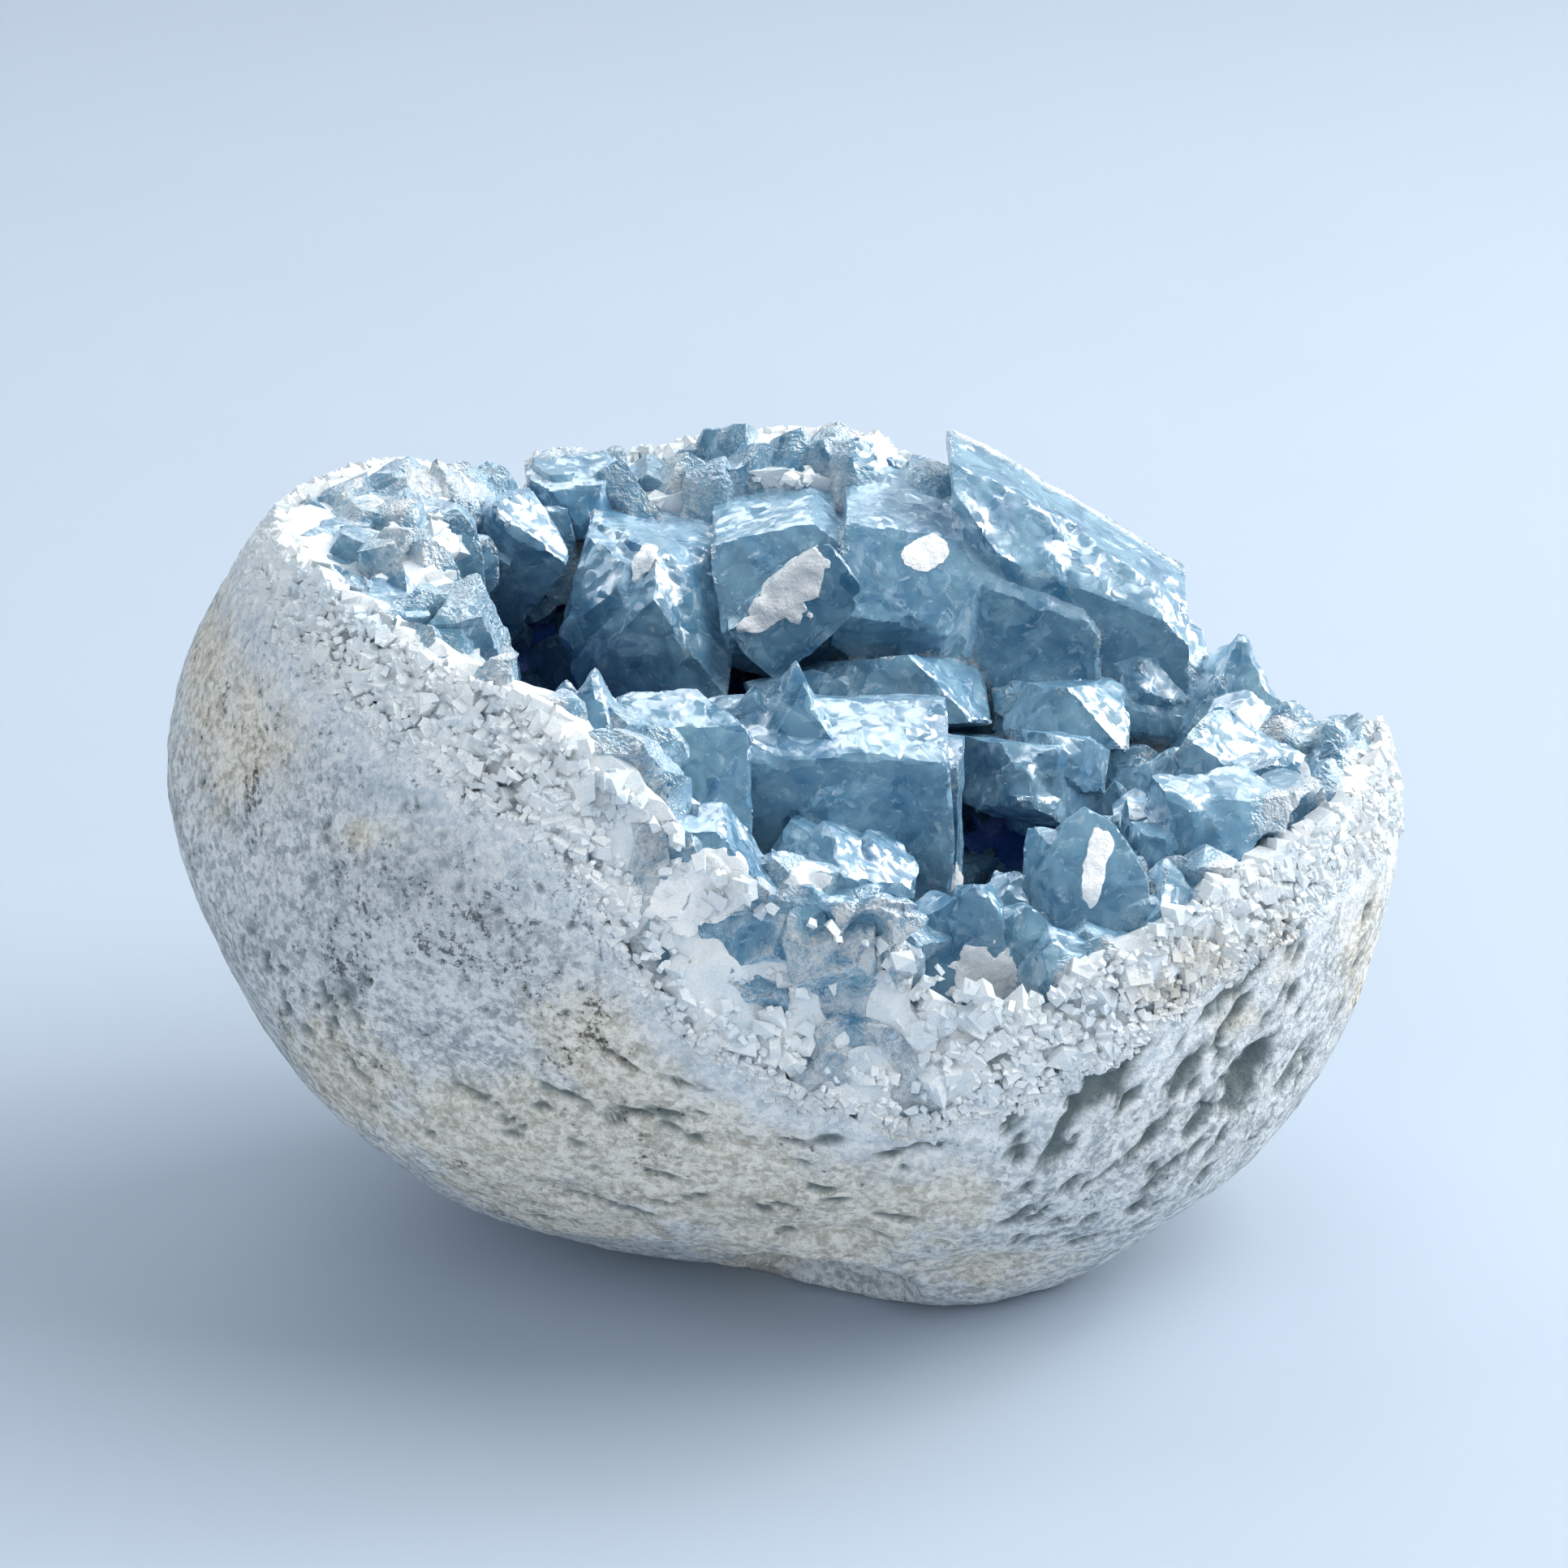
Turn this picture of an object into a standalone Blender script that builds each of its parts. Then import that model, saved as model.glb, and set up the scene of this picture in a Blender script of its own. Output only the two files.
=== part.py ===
"""Celestite geode: an egg-shaped stone shell, broken open at the top and the front, lined with one crust of crystals.

Sizes are in millimetres and become metres as each mesh is made. X runs to the right, Y to the back and Z up. The
geode stands on the small flat spot under it. An empty carries every piece, so that the origin of the scene is on the
floor, below the middle of the geode's box.
"""

import math
import random
from collections import namedtuple

import bmesh
import bpy
import numpy as np
from mathutils import Matrix, Vector

MM = 0.001

# The whole egg, as it was before it was broken open. Its long axis dips to the right.
EGG_HALF = np.array([64.0, 50.0, 51.2])
EGG_TILT = math.radians(12.0)
EGG_CENTRE = np.array([-0.3, 0.0, 47.9])
OUTSIDE_COUNT = 48
# The stone's thickness, and the gaps that keep the crust clear of its inside and of its broken edge.
WALL = 8.0
WALL_GAP = 0.5
EDGE_GAP = 0.8
# How far below the egg's skin the crystals and the crust between them end.
CRYSTAL_DEPTH = 0.15
CRUST_DEPTH = 0.5
# The middle of the finished box, seen from above, which becomes the origin.
BOX_MIDDLE = Vector((-0.12, 0.436, 0.0))

# Broad lumps of the skin: how tall, how many millimetres from crest to crest, and the way they run.
LUMPS = (
    (0.55, 62.0, (1.0, 0.4, 0.2), 0.3),
    (0.45, 41.0, (-0.3, 1.0, 0.5), 1.9),
    (0.35, 29.0, (0.6, -0.5, 1.0), 4.1),
    (0.22, 17.0, (0.9, 0.8, -0.6), 2.7),
)
# Single swellings and hollows of the skin: where, how wide, and how far out.
SWELLINGS = (
    ((62.0, 0.0, 54.0), 9.0, 0.9),
    ((43.0, -25.0, 14.0), 13.0, 1.7),
    ((25.0, -15.0, 2.0), 9.0, 2.0),
    ((-8.0, -26.0, 5.0), 12.0, -2.2),
    ((-62.0, -5.0, 64.0), 11.0, -1.1),
    ((10.0, 46.0, 30.0), 16.0, -1.4),
)

# The break, going round from the right side past the back: angle in degrees, top of the stone, top of the crust.
Break = namedtuple("Break", "angle stone crust")
BREAK = (
    Break(0, 50, 58),
    Break(10, 46, 52),
    Break(22, 44, 49),
    Break(40, 47, 52),
    Break(60, 60, 66),
    Break(75, 66, 76.5),
    Break(90, 68, 76.5),
    Break(104, 68, 75),
    Break(120, 66, 72.5),
    Break(129, 64, 68),
    Break(136, 67, 73),
    Break(150, 74, 79),
    Break(185, 78, 82),
    Break(202, 76, 81),
    Break(212, 73, 79),
    Break(222, 70, 77),
    Break(238, 65, 75),
    Break(247, 59, 71),
    Break(253, 50, 67),
    Break(260, 43, 62),
    Break(271, 37, 57),
    Break(285, 33, 52),
    Break(297, 35, 45),
    Break(308, 39, 50),
    Break(322, 45, 54),
    Break(340, 50, 56),
)
# Over the middle of the egg the break is level. It is a grid with cells of this size, rough on the crust.
MIDDLE_BREAK = 66.0
MIDDLE_RADIUS = 22.0
BREAK_CELL = 5.0
CRUST_ROUGH = 1.6

# Where the front of the stone is gone, the crust is bitten back from the old skin: middle, width, and depth.
BITE_ANGLE = math.radians(272)
BITE_WIDTH = math.radians(26)
BITE_DEPTH = 2.6
BITE_ROUGH = 1.1

# Uneven round spaces: the middle, the half sizes, how uneven, and how finely the ball is divided.
Space = namedtuple("Space", "centre half rough fine")
HOLLOW = Space((3.0, 0.0, 60.0), (47.0, 34.0, 36.0), 0.05, 3)
POCKET = Space((19.5, -46.0, 46.5), (7.5, 12.0, 8.5), 0.08, 3)
FOOT_ARCH = Space((2.5, -30.5, 2.0), (12.5, 13.5, 11.0), 0.05, 3)
PITS = (
    Space((2.0, -17.0, -0.5), (11.8, 14.0, 4.8), 0.1, 2),
    Space((38.0, -39.0, 37.5), (8.0, 3.2, 1.8), 0.1, 2),
    Space((32.0, -41.5, 31.5), (3.4, 3.2, 2.6), 0.1, 2),
    Space((48.0, -28.0, 28.5), (4.4, 4.0, 5.0), 0.1, 2),
    Space((41.5, -34.0, 24.0), (2.0, 2.6, 3.2), 0.1, 2),
    Space((52.0, -26.5, 37.0), (2.0, 2.6, 3.0), 0.1, 2),
)

# Tip planes of each habit. Each is (slope across, slope through, drop): the tip lies below all of them.
HABITS = {
    "block": ((0.10, 0.06, 0.0), (1.3, 1.1, -0.55), (-1.2, 0.9, -0.60)),
    "chisel": ((0.75, 0.05, 0.0), (-0.75, 0.05, 0.0), (0.0, 1.2, -0.35)),
    "wedge": ((0.05, 0.85, 0.0), (0.05, -0.70, 0.0), (1.1, 0.0, -0.42)),
    "slant": ((0.55, 0.25, 0.0), (-0.9, 0.0, -0.30)),
    "spire": ((1.9, 0.2, 0.0), (-1.7, 0.2, 0.0), (0.1, 2.0, -0.20), (0.1, -1.8, -0.24)),
    "dome": ((0.7, 0.2, 0.0), (-0.7, 0.2, 0.0), (0.1, 0.8, 0.0), (1.6, 0.2, -0.4), (-1.6, 0.1, -0.4), (0, -1.7, -0.4)),
    "roof": ((0.05, 0.42, 0.0), (0.06, -0.3, 0.0), (-1.2, -0.3, -0.75)),
    "ramp": ((0.62, 0.10, 0.0), (0.45, -0.85, -0.45), (1.3, -0.4, -0.75)),
    "plate": ((0.85, 0.0, 0.0), (-0.5, 0.0, 0.0)),
}

# One crystal: the middles of its foot and tip, its size across and through, its turn in degrees, and its habit.
Crystal = namedtuple("Crystal", "foot tip across through turn habit")
LEFT_WALL = (
    Crystal((-45, -15, 60), (-43, -20, 80), 14, 12, 15, "block"),
    Crystal((-46, -4, 60), (-37, -5, 77), 12, 11, 0, "dome"),
    Crystal((-44, 14, 60), (-34, 8, 78.5), 12, 11, 8, "dome"),
    Crystal((-36, 26, 58), (-26.5, 17, 75), 10, 10, -12, "block"),
    Crystal((-42, 2, 56), (-28, 5, 62), 10, 9, 20, "block"),
    Crystal((-43, -18, 62), (-35, -20, 76), 9, 8, 40, "spire"),
    Crystal((-45, 6, 66), (-43, 4, 82), 14, 12, 25, "dome"),
    Crystal((-37, -28, 60), (-34, -27, 77), 9, 8, 10, "chisel"),
    Crystal((-50, 0, 60), (-50, -3, 80), 11, 11, 0, "block"),
    Crystal((-43, -10, 54), (-32, -12, 70), 10, 9, 30, "chisel"),
)
BACK_WALL = (
    Crystal((-23, 46, 72), (-22.5, 27, 69.5), 11, 7, 5, "dome"),
    Crystal((-12, 44, 60.5), (-14, 11, 62), 17, 17, -6, "block"),
    Crystal((0, 44, 65), (0.5, 13, 63.5), 14, 16, 10, "wedge"),
    Crystal((-4, 12.5, 61), (6, 13, 71), 7, 3.5, 0, "block"),
    Crystal((13.5, 44, 65.5), (13.5, 12, 64), 17, 15.5, -10, "wedge"),
    Crystal((12, 28, 50), (12, 7, 58), 19, 8, 4, "block"),
    Crystal((0, 28, 48), (1, 8, 57), 9, 6, 12, "wedge"),
    Crystal((31, 30, 46), (30.5, 27, 71.5), 25, 22, 0, "ramp"),
    Crystal((12, 42, 66), (10, 37, 75), 9, 7, 0, "dome"),
    Crystal((-2, 42, 62), (-2, 38, 74.5), 13, 9, 8, "dome"),
    Crystal((-14, 42, 60), (-14, 38, 73), 13, 8, -10, "slant"),
)
RIGHT_WALL = (
    Crystal((31, 30, 49), (29.5, 9, 54.5), 13, 7, 0, "block"),
    Crystal((39, 34, 52), (37.5, 15, 55.5), 15, 9, 12, "dome"),
    Crystal((26, 20, 44), (24.5, -3, 51.5), 16, 8, -6, "dome"),
    Crystal((47, 20, 42), (48.5, 20, 60), 12, 12, 20, "spire"),
    Crystal((58, 10, 40), (52.5, 7, 50), 9, 9, 15, "chisel"),
    Crystal((43, 6, 36), (41, 0, 54), 8, 6, 25, "chisel"),
    Crystal((36, 6, 34), (34.5, 2, 50.5), 7, 7, -20, "spire"),
    Crystal((31, -32, 38), (29.5, -28, 59.5), 12, 11, -5, "dome"),
    Crystal((46, -27, 42), (42.5, -21, 61), 13, 10, 18, "wedge"),
    Crystal((54, -21, 40), (49.5, -19, 59), 11, 10, -12, "block"),
    Crystal((38, -35, 40), (37.5, -31, 56), 9, 8, 30, "spire"),
    Crystal((58, -6, 42), (54.5, -6, 57), 9, 9, 12, "chisel"),
    Crystal((60, 1, 44), (60, -1, 59), 7, 8, 0, "chisel"),
    Crystal((60, -12, 42), (58.5, -12, 57), 9, 8, 30, "slant"),
)
FRONT_WALL = (
    Crystal((4, -17, 32), (3.3, -20, 68), 25, 17, 5, "roof"),
    Crystal((-27, -36, 60), (-27, -33, 76), 8, 7, 12, "spire"),
    Crystal((-19, -36, 60), (-18.5, -32, 76), 9, 7, -25, "spire"),
    Crystal((1, -20, 55), (1, -22, 72.5), 11, 6, 5, "spire"),
    Crystal((-10, -32, 52), (-11, -27, 71.5), 12, 9, 15, "wedge"),
    Crystal((-12, -38, 42), (-6, -41, 64), 16, 7, 0, "plate"),
    Crystal((-16, -44, 45), (-17, -43, 64), 9, 7, 20, "block"),
    Crystal((-8, -44, 52), (14, -45, 55.5), 5.5, 5, 0, "spire"),
    Crystal((7, -36, 34), (9, -40.5, 52), 10, 8, -15, "chisel"),
    Crystal((-5, -42, 36), (-5, -46, 51), 9, 6, -25, "chisel"),
    Crystal((5, -40, 30), (6.5, -47, 45), 12, 7, 8, "block"),
    Crystal((13, -38, 36), (15.5, -36, 54), 5.5, 5, 20, "slant"),
    Crystal((19, -34, 40), (18, -38, 56), 5.5, 5, 0, "dome"),
    Crystal((22, -33, 40), (23, -37, 53), 5, 4.5, 30, "dome"),
    Crystal((-6, -40, 28), (-4, -48, 40), 10, 7, 30, "dome"),
    Crystal((27, -36, 32), (28, -43, 43), 10, 7, -20, "slant"),
)

# Crystals of the deep walls, which a loop sets round the hollow in rings: height of the foot, how many, and length.
DEEP_RINGS = ((30.0, 7, 15.0), (42.0, 9, 14.0), (21.0, 3, 16.0))
DEEP_SIZE = (7.0, 11.0)
ROOT_DEPTH = 1.06
DEEP_HABITS = ("block", "chisel", "spire", "wedge", "dome")
SEED = 11


def lumps(points):
    """How far the skin stands out at each point, in millimetres."""
    out = np.zeros(len(points))
    for height, length, way, phase in LUMPS:
        run = np.array(way) / np.linalg.norm(way)
        out += height * np.sin(points @ run * 2 * math.pi / length + phase)
    for centre, width, height in SWELLINGS:
        far = ((points - np.array(centre)) ** 2).sum(axis=1)
        out += height * np.exp(-far / (2 * width * width))
    return out


def egg_points(directions, inset=0.0):
    """Points along these unit directions, this far below the egg's skin."""
    c, s = math.cos(EGG_TILT), math.sin(EGG_TILT)
    tilt = np.array([[c, 0, s], [0, 1, 0], [-s, 0, c]])
    points = (directions * (EGG_HALF - inset)) @ tilt.T + EGG_CENTRE
    return points + directions @ tilt.T * lumps(points)[:, None]


def bitten_points(directions):
    """Points of the crust's outside: the egg's skin, bitten back and rough where the front of the stone is gone."""
    chance = np.random.default_rng(SEED)
    turn = np.arctan2(directions[:, 1], directions[:, 0]) - BITE_ANGLE
    away = (turn + math.pi) % (2 * math.pi) - math.pi
    share = np.exp(-((away / BITE_WIDTH) ** 2))
    depth = CRUST_DEPTH + share * (BITE_DEPTH + BITE_ROUGH * chance.uniform(-1, 1, len(directions)))
    return egg_points(directions, depth[:, None])


def ball(name, fine, place):
    """A sphere primitive whose unit points are moved by place, as an object."""
    mesh = bmesh.new()
    bmesh.ops.create_icosphere(mesh, subdivisions=fine, radius=1.0)
    return moved(name, mesh, place)


def globe(name, count, place):
    """Like ball, but with its triangles in rows from pole to pole, this many to a row."""
    mesh = bmesh.new()
    bmesh.ops.create_uvsphere(mesh, u_segments=count, v_segments=count // 2, radius=1.0)
    bmesh.ops.triangulate(mesh, faces=mesh.faces)
    return moved(name, mesh, place)


def moved(name, mesh, place):
    """The mesh with its points moved by place, as an object."""
    points = place(np.array([v.co for v in mesh.verts]))
    for vertex, point in zip(mesh.verts, points):
        vertex.co = Vector(point) * MM
    return as_object(name, mesh)


def as_object(name, mesh):
    """A new object that holds this bmesh, with its normals outward."""
    bmesh.ops.recalc_face_normals(mesh, faces=mesh.faces)
    data = bpy.data.meshes.new(name)
    mesh.to_mesh(data)
    mesh.free()
    return bpy.data.objects.new(name, data)


def uneven_ball(name, space):
    """A round space whose surface is pushed in and out at random, as a cutter."""

    def place(directions):
        chance = np.random.default_rng(SEED)
        push = 1 + space.rough * chance.uniform(-1, 1, len(directions))
        return directions * np.array(space.half) * push[:, None]

    made = ball(name, space.fine, place)
    made.location = Vector(space.centre) * MM
    return made


def break_height(x, y, what):
    """Height of the stone's or the crust's broken top over a point of the floor."""
    angle = math.degrees(math.atan2(y, x)) % 360
    rim = np.interp(angle, [b.angle for b in BREAK], [getattr(b, what) for b in BREAK], period=360)
    share = min(1.0, math.hypot(x, y) / MIDDLE_RADIUS)
    share = share * share * (3 - 2 * share)
    return MIDDLE_BREAK + (rim - MIDDLE_BREAK) * share


def space_above(name, what, lift, rough):
    """All that is above the broken top, as one solid: a grid bent to the break and raised far over the egg."""
    wide, deep, high = 160.0, 130.0, 160.0
    chance = random.Random(SEED)
    mesh = bmesh.new()
    across, along = round(wide / BREAK_CELL), round(deep / BREAK_CELL)
    bmesh.ops.create_grid(mesh, x_segments=across, y_segments=along, size=0.5)
    for vertex in mesh.verts:
        x, y = vertex.co.x * wide, vertex.co.y * deep
        height = break_height(x, y, what) + lift + rough * chance.uniform(-1, 1)
        vertex.co = Vector((x, y, height)) * MM
    bmesh.ops.triangulate(mesh, faces=mesh.faces, quad_method="FIXED")
    top = bmesh.ops.extrude_face_region(mesh, geom=mesh.faces[:])
    for part in top["geom"]:
        if isinstance(part, bmesh.types.BMVert):
            part.co.z = high * MM
    return as_object(name, mesh)


def crystal_object(name, crystal):
    """A crystal: a block cut by the planes of its tip and on two of its long edges, set on its foot."""
    foot, tip = Vector(crystal.foot), Vector(crystal.tip)
    length = (tip - foot).length
    half = Vector((crystal.across / 2, crystal.through / 2, length / 2 + crystal.across / 3))
    mesh = bmesh.new()
    bmesh.ops.create_cube(mesh, size=2.0, matrix=Matrix.Translation((0, 0, half.z)) @ Matrix.Diagonal((*half, 1)))
    for across, through, drop in HABITS[crystal.habit]:
        slice_off(mesh, Vector((0, 0, length - drop * half.x)), Vector((across, through, 1)))
    corner = Vector((half.x * 0.62, half.y, 0))
    slice_off(mesh, corner, Vector((half.y, half.x * 1.1, 0)))
    slice_off(mesh, -corner, Vector((-half.y, -half.x * 0.9, 0)))
    bmesh.ops.remove_doubles(mesh, verts=mesh.verts, dist=0.1)
    bmesh.ops.scale(mesh, vec=(MM, MM, MM), verts=mesh.verts)
    made = as_object(name, mesh)
    made.matrix_basis = Matrix.Translation(foot * MM) @ standing_frame((tip - foot).normalized(), crystal.turn)
    return made


def slice_off(mesh, point, normal):
    """Cuts away what is past a plane, and closes the cut."""
    every = mesh.verts[:] + mesh.edges[:] + mesh.faces[:]
    cut = bmesh.ops.bisect_plane(mesh, geom=every, plane_co=point, plane_no=normal, clear_outer=True)
    edges = [part for part in cut["geom_cut"] if isinstance(part, bmesh.types.BMEdge)]
    if edges:
        bmesh.ops.edgeloop_fill(mesh, edges=edges)


def standing_frame(axis, turn):
    """The rotation that stands a crystal up along its axis, its width level, and then turns it about the axis."""
    level = Vector((1, 0, 0)) if abs(axis.x) < 0.8 else Vector((0, 0, 1))
    side = (level - axis * level.dot(axis)).normalized()
    upright = Matrix((side, axis.cross(side), axis)).transposed()
    return (upright @ Matrix.Rotation(math.radians(turn), 3, "Z")).to_4x4()


def deep_crystals():
    """The crystals low on the walls and on the bottom of the hollow, which a fixed seed varies."""
    chance = random.Random(SEED)
    centre, half = Vector(HOLLOW.centre), Vector(HOLLOW.half)
    made = []
    for height, count, length in DEEP_RINGS:
        level = (height - centre.z) / half.z
        reach = math.sqrt(max(0.05, 1.0 - level * level))
        for step in range(count):
            angle = 2 * math.pi * (step + 0.5 * chance.random()) / count
            outward = Vector((reach * math.cos(angle), reach * math.sin(angle), level))
            foot = centre + half * outward * ROOT_DEPTH
            inward = (centre - foot).normalized() + Vector((0, 0, 0.25))
            tip = foot + inward.normalized() * length * chance.uniform(0.7, 1.1)
            across, through = chance.uniform(*DEEP_SIZE), chance.uniform(*DEEP_SIZE)
            habit = chance.choice(DEEP_HABITS)
            made.append(Crystal(foot, tip, across, through, chance.uniform(0, 90), habit))
    return made


def boolean(target, operation, cutter=None, collection=None):
    """Adds a Boolean modifier that cuts, joins or keeps what is common."""
    modifier = target.modifiers.new(operation.title(), "BOOLEAN")
    modifier.operation = operation
    modifier.solver = "EXACT"
    if collection:
        modifier.operand_type = "COLLECTION"
        modifier.collection = collection
    else:
        modifier.object = cutter


def new_collection(name):
    """A collection of the scene, which holds the geode or the shapes that cut it."""
    made = bpy.data.collections.new(name)
    bpy.context.scene.collection.children.link(made)
    return made


def helper(obj, collection):
    """Keeps an object as a cutter, out of the render."""
    collection.objects.link(obj)
    obj.hide_render = True
    obj.display_type = "WIRE"
    return obj


def finish(name, colour, roughness):
    """A plain material of that colour."""
    made = bpy.data.materials.new(name)
    made.use_nodes = True
    shader = made.node_tree.nodes["Principled BSDF"]
    shader.inputs["Base Color"].default_value = (*colour, 1)
    shader.inputs["Roughness"].default_value = roughness
    shader.inputs["Metallic"].default_value = 0.0
    return made


def floor_block(cutters):
    """What is under the floor, which cuts the foot flat."""
    mesh = bmesh.new()
    bmesh.ops.create_cube(mesh, size=1.0, matrix=Matrix.Translation((0, 0, -0.5)))
    bmesh.ops.scale(mesh, vec=(0.2, 0.2, 0.05), verts=mesh.verts)
    return helper(as_object("floor_block", mesh), cutters)


def stone_shell(cutters):
    """The stone: the egg less its cavity, its broken top, the chips and pits in it and what is under the floor."""
    shell = globe("stone_shell", OUTSIDE_COUNT, egg_points)
    boolean(shell, "DIFFERENCE", helper(ball("cavity", 3, lambda d: egg_points(d, WALL)), cutters))
    boolean(shell, "DIFFERENCE", helper(space_above("break_of_stone", "stone", 0.0, 0.0), cutters))
    boolean(shell, "DIFFERENCE", helper(uneven_ball("foot_arch", FOOT_ARCH), cutters))
    for number, pit in enumerate(PITS):
        boolean(shell, "DIFFERENCE", helper(uneven_ball(f"pit_{number + 1}", pit), cutters))
    boolean(shell, "DIFFERENCE", floor_block(cutters))
    shell.data.materials.append(finish("pale_grey_stone", (0.55, 0.58, 0.62), 0.8))
    return shell


def grown_stone(cutters):
    """The stone a little larger on its inside and its edge, which keeps the crust clear of it."""
    grown = helper(ball("stone_grown", 4, lambda d: egg_points(d, -6.0)), cutters)
    boolean(grown, "DIFFERENCE", helper(ball("cavity_less_gap", 3, lambda d: egg_points(d, WALL + WALL_GAP)), cutters))
    boolean(grown, "DIFFERENCE", helper(space_above("break_with_gap", "stone", EDGE_GAP, 0.0), cutters))
    return grown


def joined_crystals(cutters, crystals):
    """Every crystal joined with its neighbours, as one cutter."""
    first, *others = [*LEFT_WALL, *BACK_WALL, *RIGHT_WALL, *FRONT_WALL, *deep_crystals()]
    joined = helper(crystal_object("crystal_1", first), cutters)
    for number, crystal in enumerate(others):
        helper(crystal_object(f"crystal_{number + 2}", crystal), crystals)
    boolean(joined, "UNION", collection=crystals)
    return joined


def crystal_crust(cutters, crystals):
    """The crust: what lines the shell round the hollow, joined with every crystal and trimmed to the egg."""
    trimmed = helper(ball("crystals_in_egg", 4, lambda d: egg_points(d, CRYSTAL_DEPTH)), cutters)
    boolean(trimmed, "INTERSECT", joined_crystals(cutters, crystals))
    crust = ball("crystal_crust", 4, bitten_points)
    boolean(crust, "DIFFERENCE", helper(uneven_ball("hollow", HOLLOW), cutters))
    boolean(crust, "DIFFERENCE", helper(space_above("break_of_crust", "crust", 0.0, CRUST_ROUGH), cutters))
    boolean(crust, "DIFFERENCE", helper(uneven_ball("pocket", POCKET), cutters))
    boolean(crust, "UNION", trimmed)
    boolean(crust, "DIFFERENCE", grown_stone(cutters))
    crust.data.materials.append(finish("pale_blue_celestite", (0.50, 0.62, 0.74), 0.2))
    return crust


def main():
    for obj in list(bpy.data.objects):
        bpy.data.objects.remove(obj)
    geode = new_collection("celestite_geode")
    cutters = new_collection("cutters")
    crystals = new_collection("crystals")
    for node in (stone_shell(cutters), crystal_crust(cutters, crystals)):
        geode.objects.link(node)
    carrier = bpy.data.objects.new("geode_carrier", None)
    geode.objects.link(carrier)
    carrier.location = -BOX_MIDDLE * MM
    for collection in (geode, cutters, crystals):
        for obj in collection.objects:
            if obj is not carrier:
                obj.parent = carrier


main()
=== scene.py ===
"""Looks of the celestite geode: its stone rind, its crust of pale blue crystals, the sugary rim and the white flakes.

Lengths are in millimetres, in the frame that the solids were drawn in, until a mesh is made. There they become metres
and move by DRAWN_MIDDLE, so that the origin is on the floor below the middle of the geode's box.
"""

import logging
import math
from dataclasses import dataclass
from enum import Enum

import bmesh
import bpy
import numpy as np
from mathutils import Matrix, Vector

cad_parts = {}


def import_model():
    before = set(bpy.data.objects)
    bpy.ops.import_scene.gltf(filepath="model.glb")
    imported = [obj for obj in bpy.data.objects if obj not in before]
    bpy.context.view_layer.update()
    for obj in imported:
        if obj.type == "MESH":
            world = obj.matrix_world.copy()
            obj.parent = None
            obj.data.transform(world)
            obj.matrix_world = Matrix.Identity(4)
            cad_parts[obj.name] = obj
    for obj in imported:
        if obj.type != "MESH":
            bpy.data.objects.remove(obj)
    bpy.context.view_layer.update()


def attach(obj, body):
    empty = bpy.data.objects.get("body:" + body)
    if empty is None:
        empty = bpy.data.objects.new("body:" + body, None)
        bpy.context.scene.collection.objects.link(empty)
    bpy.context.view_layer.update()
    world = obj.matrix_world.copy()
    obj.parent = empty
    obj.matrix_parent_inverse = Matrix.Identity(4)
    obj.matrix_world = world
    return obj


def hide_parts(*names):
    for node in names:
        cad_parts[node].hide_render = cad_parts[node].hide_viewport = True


MM = 0.001
DRAWN_MIDDLE = np.array([-0.12, 0.436, 0.0])
# No piece goes past these corners of the solids' box, or above this height.
PART_LOW, PART_HIGH = np.array([-64.1, -49.25, 0.0]), np.array([64.1, 49.25, 83.0])
TOP = 82.9
# The corners of the room in which the crystals' shapes are worked out.
ROOM_LOW, ROOM_HIGH = (-66, -52, 0), (66, 52, 84)
# The distance that a block holds where it has no shape.
FAR = 9.0
TURN = 2 * math.pi
WHOLE = (slice(None), slice(None), slice(None))
# The sockets of shader node groups.
VECTOR, NUMBER, COLOUR = "NodeSocketVector", "NodeSocketFloat", "NodeSocketColor"

Array = np.ndarray
Point = tuple[float, float, float]


def unit(vector: Array) -> Array:
    """The vectors along the last axis, each divided by its length."""
    return vector / np.maximum(np.linalg.norm(vector, axis=-1, keepdims=True), 1e-12)


def smooth(share: Array) -> Array:
    """Eases a share between 0 and 1: three times its square less twice its cube."""
    share = np.clip(share, 0.0, 1.0)
    return share * share * (3 - 2 * share)


def bell(distance: Array, width: float) -> Array:
    """A bump of height 1: e to the power of minus half the square of distance over width."""
    return np.exp(-0.5 * (distance / width) ** 2)


def between(table: Array, low: Array, part: Array) -> Array:
    """What a table holds at places between its entries: the eight nearest, each by its share. It repeats for ever.

    Args:
        table: values in three directions.
        low: the entry below each place, in rows of three.
        part: how far each place is from that entry to the next.

    Returns:
        One value for each place.
    """
    out = np.zeros(low.shape[:-1])
    for corner in np.ndindex(2, 2, 2):
        weight = np.prod(np.where(np.array(corner) == 1, part, 1 - part), axis=-1)
        i, j, k = np.moveaxis((low + corner) % table.shape, -1, 0)
        out += weight * table[i, j, k]
    return out


def rays_at(angle: Array, rise: Array) -> Array:
    """Unit directions at an angle round and an angle of rise."""
    return np.stack([np.cos(rise) * np.cos(angle), np.cos(rise) * np.sin(angle), np.sin(rise)], axis=-1)


def noise(points: Array, cell: float, seed: int) -> Array:
    """Random hills: values at the corners of cubes of one size, eased between the corners along each axis.

    Args:
        points: positions, in rows of three.
        cell: the cubes' side.
        seed: which random table is read.

    Returns:
        One value from -1 to 1 for each point.
    """
    side = 32
    table = np.random.default_rng(seed).uniform(-1, 1, (side, side, side))
    spot = points / cell + 0.37 * seed
    low = np.floor(spot).astype(int)
    return between(table, low, smooth(spot - low))


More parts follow.
